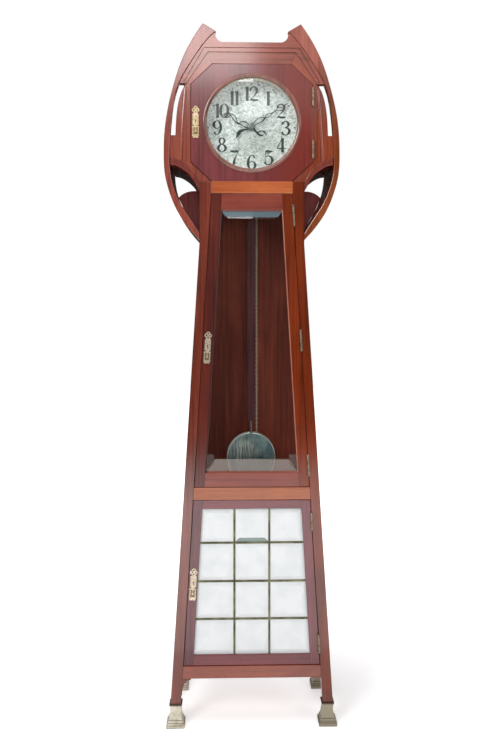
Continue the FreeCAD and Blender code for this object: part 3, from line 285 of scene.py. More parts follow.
def metal(name, bright, dull, rough, spot_mm, bare=1.0, plates=()):
    """Metal with a little tarnish in soft spots. bare is less than 1 where a film of dirt or oxide covers it.

    plates gives the middle height of each lock plate made of it.
    """
    material, tree, position = new_material(name)
    tarnish = add(tree, "TexNoise", {"Vector": position, "Scale": 1000 / spot_mm, "Detail": 4.0, "Roughness": 0.6})
    tint = add(tree, "ValToRGB", {0: tarnish}, stops=[(0.38, colour(dull)), (0.60, colour(bright))])
    roughness = remap(tree, tarnish, 0.35, 0.65, rough * 1.5, rough * 0.7)
    for middle in plates:
        tint = dirty_panel(tree, position, tint, middle)
    shader = add(tree, "BsdfPrincipled", {"Base Color": tint, "Metallic": bare, "Roughness": roughness})
    return surfaced(material, shader)


def bob_plate():
    """The bob's nickel plate: a painted dark grey-green reflection, wiped in upright streaks, a painted highlight on
    the rim.
    """
    bob_middle, wiped_place, rim_radius = (0, 0, 0.789), (-0.024, -0.05, 0.812), 71.6 * MM
    material, tree, position = new_material("nickel_plate_bob")
    # Streaks about 2.5 mm wide and 60 mm long, and cloudy patches 25 mm across in the painted reflection.
    drawn = add(tree, "Mapping", {"Vector": position, "Scale": (2.5 * MM, 2.5 * MM, 60 * MM)}, vector_type="TEXTURE")
    streaks = add(tree, "TexNoise", {"Vector": drawn, "Scale": 1.0, "Detail": 3.0, "Roughness": 0.7})
    film = add(tree, "TexNoise", {"Vector": position, "Scale": 40.0, "Detail": 3.0})
    # Painted reflection: the face is coloured dark grey-green for the case's dark inside.
    dark_reflection = add(tree, "ValToRGB", {0: film}, stops=[(0.36, colour("465658")), (0.62, colour("6E7E7C"))])
    from_wipe = add(tree, "VectorMath", {0: position, 1: wiped_place}, operation="DISTANCE")
    wiped = remap(tree, from_wipe, 0.012, 0.048, 1.0, 0.12)
    bared = add(tree, "ValToRGB", {0: streaks}, stops=[(0.47, 0.0), (0.60, 0.85)])
    shown = calc(tree, "MULTIPLY", bared, wiped)
    face = mix_tints(tree, shown, dark_reflection, colour("D0BEA8"))
    from_middle = add(tree, "VectorMath", {0: position, 1: bob_middle}, operation="SUBTRACT")
    flat = add(tree, "VectorMath", {0: from_middle, 1: (1, 0, 1)}, operation="MULTIPLY")
    radius = add(tree, "VectorMath", {0: flat}, operation="LENGTH")
    # Painted highlight: the turned rim is coloured pale.
    rim = calc(tree, "GREATER_THAN", radius, rim_radius)
    tint = mix_tints(tree, rim, face, colour("DDE0D6"))
    rough = remap(tree, film, 0.3, 0.7, 0.42, 0.30)
    shader = add(tree, "BsdfPrincipled", {"Base Color": tint, "Metallic": 0.85, "Roughness": rough})
    return surfaced(material, shader)


def sabot_plate():
    """Cast nickel-plated brass, creamy with age; dark lines on its steps, a painted dark reflection on the rim,
    painted shade on the right feet.
    """
    plinth_top, step = 23 * MM, 6.5 * MM
    material, tree, position = new_material("nickel_plate_sabot")
    x, _, z = add(tree, "SeparateXYZ", {0: position}).outputs
    # Worn patches, 17 mm.
    wear = add(tree, "TexNoise", {"Vector": position, "Scale": 60.0, "Detail": 4.0, "Roughness": 0.6})
    plate = add(tree, "ValToRGB", {0: wear}, stops=[(0.34, colour("B4AC98")), (0.58, colour("DAD4C2"))])
    # A dark line on each step of the plinth.
    waves = calc(tree, "MULTIPLY", z, 2 * math.pi / step)
    crest = calc(tree, "SINE", waves)
    step_lines = remap(tree, crest, 0.35, 0.95, last=0.8)
    in_plinth = calc(tree, "LESS_THAN", z, plinth_top)
    step_darkening = calc(tree, "MULTIPLY", step_lines, in_plinth)
    # Painted reflection: a dark band round the top rim.
    rim_reflection = remap(tree, z, 60 * MM, 63 * MM, last=0.9)
    dark = calc(tree, "MAXIMUM", step_darkening, rim_reflection)
    # Painted shade: the right-hand feet are coloured darker.
    right_feet_shade = remap(tree, x, -0.1, 0.1)
    plate_with_shade = mix_tints(tree, right_feet_shade, plate, colour("9A927E"))
    tint = mix_tints(tree, dark, plate_with_shade, colour("3A2E26"))
    rough = remap(tree, wear, 0.3, 0.7, 0.55, 0.38)
    shader = add(tree, "BsdfPrincipled", {"Base Color": tint, "Metallic": 0.6, "Roughness": rough})
    return surfaced(material, shader)


def plate_glass(name, tint, bevels=()):
    """Polished plate glass, clear with a faint green body. Lamps shine through it to what stands behind.

    Each bevel is given by the height of its edge, which way it faces, its half length, its width, how strong its
    painted reflection is and the tint of that reflection.
    """
    material, tree, position = new_material(name)
    # Old plate is a little wavy, 90 mm from crest to crest.
    waves = add(tree, "TexNoise", {"Vector": position, "Scale": 11.0, "Detail": 0.0})
    relief = add(tree, "Bump", {"Height": waves, "Strength": 0.01, "Distance": 1 * MM})
    glass = add(tree, "BsdfPrincipled", {
        "Base Color": colour(tint), "Roughness": 0.0, "IOR": 1.52, "Transmission Weight": 1.0, "Normal": relief})
    x, _, z = add(tree, "SeparateXYZ", {0: position}).outputs
    aside = calc(tree, "ABSOLUTE", x)
    for edge, facing, half_length, width, cloud, reflection_tint in bevels:
        # A bevel is ground on the wheel. Its painted reflection, a flat tint of what the bevel reflects, is fainter
        # towards the middle of the glass. Its ends are mitred.
        inward = calc(tree, "MULTIPLY_ADD", z, facing, -edge * facing)
        end = calc(tree, "MULTIPLY_ADD", inward, 0.7, aside)
        along = calc(tree, "LESS_THAN", end, half_length)
        across = remap(tree, inward, 0.0, width, cloud, cloud * 0.85)
        within = calc(tree, "LESS_THAN", inward, width)
        shown = calc(tree, "MULTIPLY", across, within)
        amount = calc(tree, "MULTIPLY", shown, along)
        painted_reflection = add(tree, "BsdfPrincipled", {
            "Base Color": colour(reflection_tint), "Roughness": 0.5, "IOR": 1.52, "Specular IOR Level": 0.1})
        glass = add(tree, "MixShader", {0: amount, 1: glass, 2: painted_reflection})
    path = add(tree, "LightPath").outputs
    lets_through = calc(tree, "MAXIMUM", path["Is Shadow Ray"], path["Is Diffuse Ray"])
    lamp_side = add(tree, "BsdfTransparent", {0: colour("F6FAF8")})
    return surfaced(material, add(tree, "MixShader", {0: lets_through, 1: glass, 2: lamp_side}))


def backed_glass():
    """Bevelled glass painted white behind: a cool white, slightly uneven, under a hard gloss."""
    material, tree, position = new_material("glass_white_backed")
    # Cloudy patches in the paint, 45 mm.
    cloud = add(tree, "TexNoise", {"Vector": position, "Scale": 22.0, "Detail": 3.0})
    paint = add(tree, "ValToRGB", {0: cloud}, stops=[(0.35, colour("D2D5D6")), (0.62, colour("DADCDD"))])
    # Painted reflection: one bevel is coloured dark green for the dark place seen in it. Its ends are mitred.
    bevel_foot, bevel_width, half_length = 0.5485, 11.5 * MM, 49.5 * MM
    x, _, z = add(tree, "SeparateXYZ", {0: position}).outputs
    aside = calc(tree, "ABSOLUTE", x)
    up = calc(tree, "SUBTRACT", z, bevel_foot)
    reach = calc(tree, "ADD", aside, up)
    along = calc(tree, "LESS_THAN", reach, half_length)
    below = calc(tree, "LESS_THAN", up, bevel_width)
    above = calc(tree, "GREATER_THAN", up, 0.0)
    band = calc(tree, "MULTIPLY", along, below)
    # Painted reflection: where the dark green band is painted.
    bare = calc(tree, "MULTIPLY", band, above)
    tint = mix_tints(tree, bare, paint, colour("7C8C86"))
    shader = add(tree, "BsdfPrincipled", {
        "Base Color": tint, "Roughness": 0.35, "IOR": 1.52, "Specular IOR Level": 0.2,
        "Coat Weight": 0.6, "Coat Roughness": 0.02, "Coat IOR": 1.52})
    return surfaced(material, shader)


def silvered_dial():
    """Silvered brass, matt from the salt it is rubbed with, spotted grey and brown by age."""
    material, tree, position = new_material("silvered_brass")
    # Blotches of 14 mm, specks of 3 mm, and curling scratches where the silver has lifted.
    blotch = add(tree, "TexNoise", {
        "Vector": position, "Scale": 70.0, "Detail": 6.0, "Roughness": 0.65, "Distortion": 1.2})
    speck = add(tree, "TexNoise", {"Vector": position, "Scale": 330.0, "Detail": 3.0})
    curl = add(tree, "TexNoise", {"Vector": position, "Scale": 36.0, "Detail": 3.0, "Distortion": 2.6})
    ground = add(tree, "ValToRGB", {0: blotch}, stops=[
        (0.34, colour("969D99")), (0.45, colour("D6DAD8")), (0.57, colour("F5F6F6"))])
    specks = add(tree, "ValToRGB", {0: speck}, stops=[(0.34, 0.5), (0.43, 1.0)])
    mottled = mix_tints(tree, 1.0, ground, specks, "MULTIPLY")
    # The middle and the lower half are darkest: worn where fingers set the hands, and darker below as painted shade.
    shaded_and_worn_place = (0.016, dial_face, 1.764)
    away = add(tree, "VectorMath", {0: position, 1: shaded_and_worn_place}, operation="DISTANCE")
    wander = calc(tree, "MULTIPLY_ADD", blotch, 0.07, away)
    worn_and_shaded = remap(tree, wander, 0.06, 0.14, 1.0, 0.0)
    from_edge = calc(tree, "SUBTRACT", curl, 0.5)
    beside = calc(tree, "ABSOLUTE", from_edge)
    lifted = remap(tree, beside, 0.005, 0.028, 0.95, 0.38)
    film = calc(tree, "MULTIPLY", lifted, worn_and_shaded)
    aged = mix_tints(tree, film, mottled, colour("82867C"))
    rough = remap(tree, blotch, 0.3, 0.7, 0.62, 0.42)
    shader = add(tree, "BsdfPrincipled", {
        "Base Color": aged, "Metallic": 0.1, "Roughness": rough, "Specular IOR Level": 0.3})
    return surfaced(material, shader)


def dial_black():
    """Black wax rubbed into the dial, worn to grey in places 4 mm across."""
    material, tree, position = new_material("black_dial_wax")
    wear = add(tree, "TexNoise", {"Vector": position, "Scale": 260.0, "Detail": 3.0})
    tint = add(tree, "ValToRGB", {0: wear}, stops=[(0.50, colour("222E30")), (0.74, colour("5A6663"))])
    shader = add(tree, "BsdfPrincipled", {"Base Color": tint, "Roughness": 0.55})
    return surfaced(material, shader)


# Woods. The tones are the pale wood, the middle and the darkest line. They change across the case from plum on the
# left to amber on the right.
amber_tones = ("7E2E08", "662202", "441402")
plum_tones = ("78383E", "663034", "481E24")
frame_tones = ("944834", "823C2C", "5C261A")
umber_tones = ("A44E38", "883E30", "5C281E")

# The case's usual red-brown.
finish(mahogany("mahogany_red_polished", ("7C3626", "66291A", "48190F")), "stile_front_left", "stile_rear_left",
       "stile_rear_right", "side_panel_left", "side_panel_right", "foot_bracket")
# Bleached to a glowing amber.
finish(mahogany("mahogany_amber_polished", amber_tones, gloss=0.7), "stile_front_right")
# Rails cut from brighter boards: orange above, rust in the middle, brick below.
finish(mahogany("mahogany_orange_polished", ("BC6638", "A8542A", "803A1A"), LEVEL), "rail_upper")
finish(mahogany("mahogany_rust_polished", ("A4562A", "904822", "6A300E"), LEVEL, gloss=0.7), "rail_middle")
finish(mahogany("mahogany_brick_polished", ("904832", "7E3A2A", "5A2818"), LEVEL), "rail_bottom")
# The hood's warm red, with the same boards in its front frame.
level_mahogany = finish(mahogany("mahogany_red_level_grain", frame_tones, LEVEL), "cornice", "hood_roof")
finish(mitred_mahogany("mahogany_hood_frame", frame_tones), "hood_frame")
# Purplish veneer, painted browner to the right as shade.
finish(mahogany("mahogany_plum_veneer", ("7A383C", "6C3234", "58282B"), gloss=0.75,
                painted_shade=("X", 0.0, 0.12, "FFD2A6")), "hood_door")
# Oiled, not polished: dull and brown in the shade of the trunk.
finish(mahogany("mahogany_dark_oiled", umber_tones, gloss=0.05), "backboard")
finish(mahogany("mahogany_dark_level_grain", umber_tones, LEVEL, gloss=0.05), "waist_floor", "base_floor", "seatboard")
# Varnished thinly: dark and rather dull.
finish(mahogany("mahogany_rod_varnished", ("582E30", "462426", "2E1618"), gloss=0.2), "pendulum_rod")
# Bent hoops: red on the left; the right one is painted browner downwards as shade.
finish(mahogany("mahogany_hoop_left", ("924434", "7C3628", "562216")), "hoop_left")
finish(mahogany("mahogany_hoop_right", ("A05A4C", "884638", "602822"), gloss=0.6,
                painted_shade=("Z", 1.99, 1.87, "D6C276")), "hoop_right")
# The arches and the hood's sides: deeper red, glossy.
finish(mahogany("mahogany_shoulder", ("7E382C", "6A2C22", "481A12")), "shoulder_left", "shoulder_right",
       "hood_side_left")
finish(mahogany("mahogany_hood_side_right", ("76321E", "622616", "42160C"), gloss=0.75), "hood_side_right")
# Pale rose tones as painted light, so that the webs show lit in the shade under the arches.
finish(mahogany("mahogany_web", ("D46B64", "B85A56", "8A403C"), gloss=0.5), "web_panels")
# Doors: russet to amber above, plum below.
finish(door_mahogany("mahogany_waist_door", ("60261C", "4C1C16", "300E0C"), amber_tones,
                     ("884030", "76342A", "52221A"), waist_joint, 0.6), "waist_door")
finish(door_mahogany("mahogany_lower_door", ("6C343A", "5C2C32", "40181E"), plum_tones, plum_tones,
                     lower_joint, 0.7), "lower_door")
# Turned on the lathe; its tones are greyed as painted sheen.
finish(mahogany("mahogany_bezel_turned", ("8E5A4C", "784C40", "56342C")), "hood_bezel")
# The bead's joints lie 5.5 mm inside the door's. Painted highlight and shade: its right side is coloured pale, its
# left side dark.
bead_mahogany = door_mahogany(
    "mahogany_glazing_bead", ("4A2420", "3E1C18", "2A1210"), ("B4705C", "A4604E", "7A4438"),
    ("8C4A38", "7A3C2E", "58281E"), waist_joint - 5.5 * MM, 0.6)

# Metals, each with its bright and dull colour, its roughness and the size of its spots in mm.
# Nickel plate, worn to a warm grey, and darker on the lock plates.
nickel = metal("nickel_plate_worn", "DAD4C4", "BEB7A4", 0.34, 14, bare=0.7)
finish(metal("nickel_lock_plates", "C4B6A2", "A0927C", 0.36, 6, bare=0.7, plates=(1.131, 0.424)),
       "escutcheon_waist", "escutcheon_lower")
finish(bob_plate(), "bob")
finish(sabot_plate(), "sabots")
# Lacquered brass is yellow and smooth, the pale brass plate is rubbed nearly to grey, and the hinges are brown.
finish(metal("brass_lacquered", "E3C183", "B4924F", 0.24, 7), "movement_frame", "great_wheel", "center_wheel",
       "third_wheel", "escape_wheel", "minute_wheel", "hour_wheel", "pendulum_cock", "weight")
finish(metal("brass_pale_plate", "BAA98C", "A08E68", 0.34, 7, bare=0.8, plates=(1.805,)), "escutcheon_hood")
finish(metal("brass_hinge_tarnished", "968270", "64543F", 0.42, 6, bare=0.6), "hinge_leaves_case",
       "hinge_leaves_hood", "hinge_leaves_waist", "hinge_leaves_lower")
# Painted light: the chain is coloured pale and barely metallic, so that its links show as dots against the dark board.
chain_brass = finish(metal("brass_chain", "F6E8CE", "E6D0B0", 0.40, 5, bare=0.1), "chain", "chain_tail")
# Brass cames gone olive brown.
finish(metal("brass_came_patinated", "6C6A50", "504E3C", 0.48, 40, bare=0.8), "lower_cames")
# Steel: polished in the movement, browned on the rating rod, blued to near black on the hands, grey on the collets.
finish(metal("steel_polished", "B9BCC0", "8F9296", 0.25, 8), "anchor", "suspension_spring")
finish(metal("steel_rod_browned", "6E6466", "50484A", 0.42, 6, bare=0.5), "rating_rod")
blued_steel = finish(metal("steel_blued", "2E363C", "1C2126", 0.38, 6, bare=0.7), "hour_hand", "minute_hand")
collet_steel = finish(metal("steel_collet", "7C807C", "545A58", 0.42, 4, bare=0.6), "hand_nut")

finish(plate_glass("plate_glass_dial", "FCFEFD"), "hood_glass")
finish(plate_glass("plate_glass_waist", "E8EEF0", bevels=(
    (sight_high, -1, 0.0925, 20 * MM, 0.94, "54666E"), (sight_low, 1, 0.139, 40 * MM, 0.22, "9C8A80"))), "waist_glass")
finish(backed_glass(), "lower_panes")
finish(silvered_dial(), "dial")
numeral_wax = dial_black()


# Numerals, drawn as strokes of changing width: each point is across, up and width, as shares of the height.
strokes = {
    "0": [[(.30, .98, .05), (.50, .80, .15), (.55, .50, .20), (.50, .20, .15), (.30, .02, .05),
           (.10, .20, .15), (.05, .50, .20), (.10, .80, .15), (.30, .98, .05)]],
    "1": [[(.16, 0, .20), (.16, .5, .19), (.16, 1, .20)], [(.12, .97, .03), (.0, .86, .06)]],
    "2": [[(.05, .70, .13), (.08, .84, .14), (.20, .97, .06), (.36, .98, .07), (.50, .84, .17), (.50, .66, .18),
           (.38, .44, .09), (.22, .26, .05), (.06, .10, .05)],
          [(.02, .04, .05), (.16, .08, .13), (.34, .05, .15), (.50, .06, .13), (.60, .13, .04)]],
    "3": [[(.08, .74, .14), (.10, .86, .13), (.24, .97, .06), (.40, .95, .09), (.50, .78, .18), (.42, .60, .10),
           (.24, .54, .04)],
          [(.24, .54, .04), (.46, .48, .10), (.56, .28, .20), (.44, .07, .10), (.26, .02, .06), (.10, .10, .13),
           (.06, .24, .13)]],
    "4": [[(.38, 1, .05), (.20, .64, .06), (.02, .30, .05)], [(.0, .28, .06), (.30, .27, .08), (.64, .28, .05)],
          [(.40, 1, .18), (.40, .5, .18), (.40, 0, .19)]],
    "5": [[(.06, .92, .10), (.20, .95, .17), (.38, .92, .17), (.60, .97, .05)], [(.10, .90, .04), (.08, .54, .04)],
          [(.08, .52, .04), (.26, .62, .06), (.46, .54, .12), (.56, .30, .20), (.44, .07, .10), (.24, .01, .06),
           (.08, .10, .13), (.05, .22, .12)]],
    "6": [[(.50, .78, .13), (.46, .92, .10), (.34, .98, .05), (.18, .88, .10), (.07, .58, .18), (.08, .26, .18),
           (.20, .05, .08), (.34, .01, .05), (.50, .12, .13), (.56, .30, .19), (.46, .50, .09), (.32, .56, .05),
           (.14, .44, .05)]],
    "7": [[(.0, .86, .04), (.10, .93, .14), (.30, .92, .17), (.48, .93, .15), (.60, .98, .04)],
          [(.58, .94, .04), (.44, .66, .06), (.32, .38, .13), (.27, .16, .19), (.27, .0, .20)]],
    "8": [[(.30, .99, .05), (.45, .90, .13), (.47, .72, .13), (.30, .55, .07), (.14, .70, .13), (.15, .90, .13),
           (.30, .99, .05)],
          [(.30, .55, .06), (.50, .42, .15), (.55, .20, .17), (.30, .01, .05), (.05, .20, .17), (.10, .42, .15),
           (.30, .55, .06)]],
}
strokes["9"] = [[(.60 - x, 1 - z, w) for x, z, w in stroke] for stroke in strokes["6"]]


def through(points, steps=8):
    """A smooth line through points of any size, closed if its ends meet."""
    points = [Vector(p) for p in points]
    closed = (points[0] - points[-1]).length < 1e-9
    if closed:
        points = points[:-1]
    count = len(points)
    def at(i):
        return points[i % count] if closed else points[max(0, min(count - 1, i))]
    line = []
    for i in range(count if closed else count - 1):
        a, b, c, d = at(i - 1), at(i), at(i + 1), at(i + 2)
        for k in range(steps):
            t = k / steps
            line.append(0.5 * (2 * b + (c - a) * t + (2 * a - 5 * b + 4 * c - d) * t * t
                               + (3 * b - a - 3 * c + d) * t ** 3))
    line.append(line[0].copy() if closed else points[-1].copy())
    return line


def flat_stroke(bm, points, place, front, back, dome=0.0):
    """A flat band along points (across, up, width). place turns across and up into X and Z."""
    closed = (points[0] - points[-1]).length < 1e-9
    rows = []
    for i, p in enumerate(points):
        before, after = points[max(0, i - 1)], points[min(len(points) - 1, i + 1)]
        if i in (0, len(points) - 1) and closed:
            before, after = points[-2], points[1]
        run = Vector((after[0] - before[0], after[1] - before[1]))
        side = Vector((-run.y, run.x)).normalized() * p[2] / 2
        left = place(p[0] + side.x, p[1] + side.y)
        right = place(p[0] - side.x, p[1] - side.y)
        middle = place(p[0], p[1])
        rows.append([bm.verts.new((x, y, z)) for (x, z), y in (
            (left, back), (left, front), (middle, front - dome), (right, front), (right, back))])
    skin(bm, rows, closed=False)
    if not closed:
        bm.faces.new(rows[0])
        bm.faces.new(list(reversed(rows[-1])))


def numerals():
    """Upright Arabic numerals in a ring round the dial."""
    bm = bmesh.new()
    height, ring, drop = 44 * MM, 105 * MM, 1.5 * MM
    for hour in range(1, 13):
        angle = math.radians(30 * hour)
        text = str(hour)
        # How far each digit moves the next one along. The ones of 11 stand closer.
        widths = [0.34, 0.26] if text == "11" else [(0.34 if c == "1" else 0.60) * 0.95 for c in text]
        left = dial_centre.x + ring * math.sin(angle) - sum(widths) * height / 2
        low = dial_centre.z - drop + ring * math.cos(angle) - height / 2
        for digit, width in zip(text, widths):
            for stroke in strokes[digit]:
                flat_stroke(bm, through(stroke), lambda x, z: (left + x * height, low + z * height),
                            dial_face - 0.3 * MM, dial_face - 0.02 * MM)
            left += width * height
    piece_from(mesh_of(bm, "dial_numerals"), "dial_numerals", numeral_wax, "case")


def new_growth(name, inputs):
    """A Geometry Nodes tree and its inputs, each named and with its value."""
    tree = bpy.data.node_groups.new(name, "GeometryNodeTree")
    for label, value in inputs.items():
        kind = "NodeSocketInt" if isinstance(value, int) else "NodeSocketFloat"
        tree.interface.new_socket(label, in_out="INPUT", socket_type=kind).default_value = value
    tree.interface.new_socket("Grown", in_out="OUTPUT", socket_type="NodeSocketGeometry")
    return tree, add(tree, "NodeGroupInput").outputs


def grown(tree, instances, material, name):
    """The plain mesh that a Geometry Nodes tree makes of its instances."""
    real = add(tree, "GeometryNodeRealizeInstances", {0: instances})
    painted = add(tree, "GeometryNodeSetMaterial", {"Geometry": real, "Material": material})
    add(tree, "NodeGroupOutput", {0: painted})
    holder = bpy.data.objects.new(name + "_holder", bpy.data.meshes.new(name + "_empty"))
    scene.collection.objects.link(holder)
    modifier = holder.modifiers.new("grow", "NODES")
    modifier.node_group = tree
    for item in tree.interface.items_tree:
        if item.in_out == "INPUT":
            modifier[item.identifier] = item.default_value
    bpy.context.view_layer.update()
    graph = bpy.context.evaluated_depsgraph_get()
    mesh = bpy.data.meshes.new_from_object(holder.evaluated_get(graph))
    mesh.name = name
    holder.modifiers.remove(modifier)
    bpy.data.objects.remove(holder)
    return mesh


def minute_track():
    """A dot for each minute and a larger one for every fifth, set out by Geometry Nodes."""
    tree, given = new_growth("minute_track", {
        "Radius": 133 * MM, "Minute dot": 0.55 * MM, "Five minute dot": 2.3 * MM, "Marks": 60})
    ring = add(tree, "GeometryNodeMeshCircle", {"Vertices": given["Marks"], "Radius": given["Radius"]})
    dot = add(tree, "GeometryNodeMeshCylinder", {"Vertices": 10, "Radius": 1.0, "Depth": 0.25 * MM})
    number = add(tree, "GeometryNodeInputIndex")
    rest = calc(tree, "MODULO", number, 5.0)
    fifth = calc(tree, "LESS_THAN", rest, 0.5)
    size = add(tree, "Mix", {0: fifth, 2: given["Minute dot"], 3: given["Five minute dot"]})
    spread = add(tree, "CombineXYZ", {0: size, 1: size, 2: 1.0})
    dots = add(tree, "GeometryNodeInstanceOnPoints", {"Points": ring, "Instance": dot, "Scale": spread})
    mesh = grown(tree, dots, numeral_wax, "dial_minute_track")
    mesh.transform(Matrix.Translation((dial_centre.x, dial_face - 0.12 * MM, dial_centre.z))
                   @ Matrix.Rotation(math.radians(90), 4, "X"))
    piece_from(mesh, "dial_minute_track", numeral_wax, "case")


def hand(name, degrees, strands, front, body, replaced):
    """A sawn and filed steel hand, built from flat strands in the hand's own frame: along, aside and width in mm."""
    bm = bmesh.new()
    turn = math.radians(degrees)
    along = (math.sin(turn), math.cos(turn))
    aside = (-math.cos(turn), math.sin(turn))
    def place(u, v):
        return (dial_centre.x + (u * along[0] + v * aside[0]) * MM, dial_centre.z + (u * along[1] + v * aside[1]) * MM)
    for strand in strands:
        # Strands over 1.3 mm are drawn a little wider than they were filed, or they would not show.
        strand = [(u, v, max(width * 1.15, 2.0) if width > 1.3 else width) for u, v, width in strand]
        flat_stroke(bm, through(strand), place, front + 0.4 * MM, front + 1.2 * MM, 0.4 * MM)
    piece_from(mesh_of(bm, name, 35), name, blued_steel, body, replaced)


def turned_ring(name, profile, material, body, segments=40):
    """A ring turned about the dial's centre. The profile gives radius and depth in mm, and closes on itself."""
    bm = bmesh.new()
    skin(bm, [[bm.verts.new((dial_centre.x + r * MM * math.cos(2 * math.pi * k / segments), y * MM,
                             dial_centre.z + r * MM * math.sin(2 * math.pi * k / segments)))
               for k in range(segments)] for r, y in profile])
    piece_from(mesh_of(bm, name, 35), name, material, body)


def hands():
    """Both hands at the time that the photograph shows, each with its turned collet."""
    hand("minute_hand_pierced", 57.0, [
        [(6, 3, 2.4), (12, 6, 2.0), (24, 9.4, 1.8), (35, 9.5, 1.7), (44, 6.4, 1.8), (50, 0.5, 2.4)],
        [(6, -2, 2.4), (12, -1.6, 2.0), (24, -2.2, 1.8), (36, -2.6, 2.2), (42, -2.6, 3.6), (50, 0.5, 2.4)],
        [(49, 0.5, 2.4), (55, 4.4, 1.6), (62, 5.2, 1.6), (71, 4.0, 1.7), (77, 0.8, 2.6)],
        [(49, 0.5, 2.4), (56, -1.6, 1.6), (65, -2.3, 1.6), (72, -1.4, 1.7), (77, 0.8, 2.6)],
        [(76, 0.8, 2.4), (88, 2.6, 1.7), (98, 5.2, 1.8), (106, 9.4, 2.0), (112, 9.8, 2.4), (118, 4.5, 3.0),
         (122, 0, 3.0)],
        [(76, 0.8, 2.4), (88, 0.4, 1.7), (96, -1.0, 1.8), (104, -7.4, 2.2), (111, -8.8, 3.0), (117, -6.0, 3.6),
         (122, 0, 3.0)],
        [(98, 5.2, 1.4), (104, 2.5, 1.4), (110, -0.5, 1.6), (113, -5, 2.0)],
        [(118, 0, 3.4), (126, 0.3, 2.4), (138, 0.4, 0.8)],
        [(-4, 0, 4.0), (-12, 0, 3.4), (-25, 6.0, 4.0), (-36, 8.0, 7.5), (-45, 4.4, 8.5), (-53, -0.6, 4.5),
         (-59, -4, 0.8)],
    ], -0.074, "minute_arbor", ("minute_hand",))
    turned_ring("minute_hand_collet", [(3.2, -73.0), (11.0, -73.0), (11.0, -74.0), (9.6, -74.8), (6.4, -75.6),
                                       (3.2, -75.8)], collet_steel, "minute_arbor")
    hand("hour_hand_pierced", 296.5, [
        [(6, -3, 2.6), (14, -5.2, 2.0), (24, -6.2, 1.9), (34, -2.4, 1.9), (38, 4, 2.0), (41, 8.5, 3.2)],
        [(6, 4, 2.6), (14, 7.4, 2.0), (24, 8.0, 1.9), (34, 6.6, 1.9), (41, 8.5, 3.2)],
        [(40, 8.5, 3.2), (52, 7.0, 1.9), (60, 3.6, 1.9), (67, -0.6, 1.9), (76, -5.0, 2.6)],
        [(40, 8.5, 3.2), (46, 5.2, 1.9), (52, -1.8, 1.9), (60, -7.6, 1.9), (70, -9.6, 2.0), (77, -6.0, 2.6)],
        [(75, -6, 2.6), (80, -9, 2.2), (86, -6.4, 2.6), (90, -0.6, 2.4), (93, 5.0, 1.2)],
        [(74, -5, 2.6), (76, 1.6, 2.2), (80, 6.4, 2.4), (86, 8.0, 2.4), (92.5, 4.6, 1.2)],
        [(77, -4, 1.6), (82, -1, 1.6), (86, 2, 1.8), (92, 4.6, 1.2)],
        [(-4, 0, 4.0), (-13, 3, 3.6), (-24, 7.6, 3.8), (-34, 9.4, 3.6), (-44, 6.2, 1.6)],
        [(-24, 7, 3.0), (-27, 1.6, 2.2), (-34, -4.6, 2.6), (-45, -4.4, 2.8), (-54, 1.8, 1.0)],
    ], -0.070, "hour_pipe", ("hour_hand",))
    turned_ring("hour_hand_collet", [(5.0, -68.8), (9.0, -68.8), (9.0, -70.2), (5.0, -70.2)],
                blued_steel, "hour_pipe")


def sight_ring():
    """A stepped nickel ring between dial and glass, which hides the gap round the dial."""
    turned_ring("dial_sight_ring", [
        (144.5, -67.5), (144.9, -72.0), (146.0, -72.6), (146.3, -79.0), (147.5, -79.8), (147.9, -88.0),
        (149.2, -89.0), (149.6, -99.0), (151.0, -99.6), (151.6, -98.4), (149.8, -84.0), (147.2, -67.2)],
        nickel, "case", segments=128)


def reeds():
    """A half-round reed down each side of the hood's front, curving out below."""
    width, rise, front = 6.5 * MM, 2.8 * MM, -0.124
    for name, side in (("hood_reed_left", -1), ("hood_reed_right", 1)):
        line = through([(side * x, z, width) for x, z in (
            (0.1985, 1.905), (0.2035, 1.850), (0.2080, 1.780), (0.2110, 1.725), (0.2125, 1.690))])
        bm = bmesh.new()
        flat_stroke(bm, line, lambda x, z: (x, z), front - rise * 0.55, front, rise * 0.45)
        piece_from(mesh_of(bm, name, 60), name, level_mahogany, "case")


def glazing_bead():
    """A quarter-round bead that holds the waist glass, mitred round the sight."""
    bm = bmesh.new()
    rows = []
    # How far each edge lies inside the sight, and its depth, in mm.
    for inset, y in ((0.05, -121.05), (0.05, -125.5), (0.9, -125.2), (2.2, -124.2), (3.2, -122.9), (3.5, -121.05)):
        low, high = sight_low + inset * MM, sight_high - inset * MM
        a = waist_joint - stile_slope * sight_low - inset * MM
        b = waist_joint - stile_slope * sight_high - inset * MM
        rows.append([bm.verts.new((x, y * MM, z)) for x, z in ((-a, low), (a, low), (b, high), (-b, high))])
    skin(bm, rows)
    piece_from(mesh_of(bm, "waist_glazing_bead", 50), "waist_glazing_bead", bead_mahogany, "waist_door_leaf")


def chain_link(length, width, wire):
    """One oval link round the origin, standing along Z."""
    around, across = 12, 4
    bm = bmesh.new()
    rows = []
    for i in range(around):
        a = 2 * math.pi * i / around
        x, z = (width - wire) / 2 * math.cos(a), (length - wire) / 2 * math.sin(a)
        out = Vector((math.cos(a) / width, math.sin(a) / length)).normalized()
        row = []
        for k in range(across):
            b = 2 * math.pi * k / across
            reach = wire / 2 * math.cos(b)
            row.append(bm.verts.new((x + out.x * reach, wire / 2 * math.sin(b), z + out.y * reach)))
        rows.append(row)
    skin(bm, rows)
    return mesh_of(bm, "chain_link_pattern", 60)


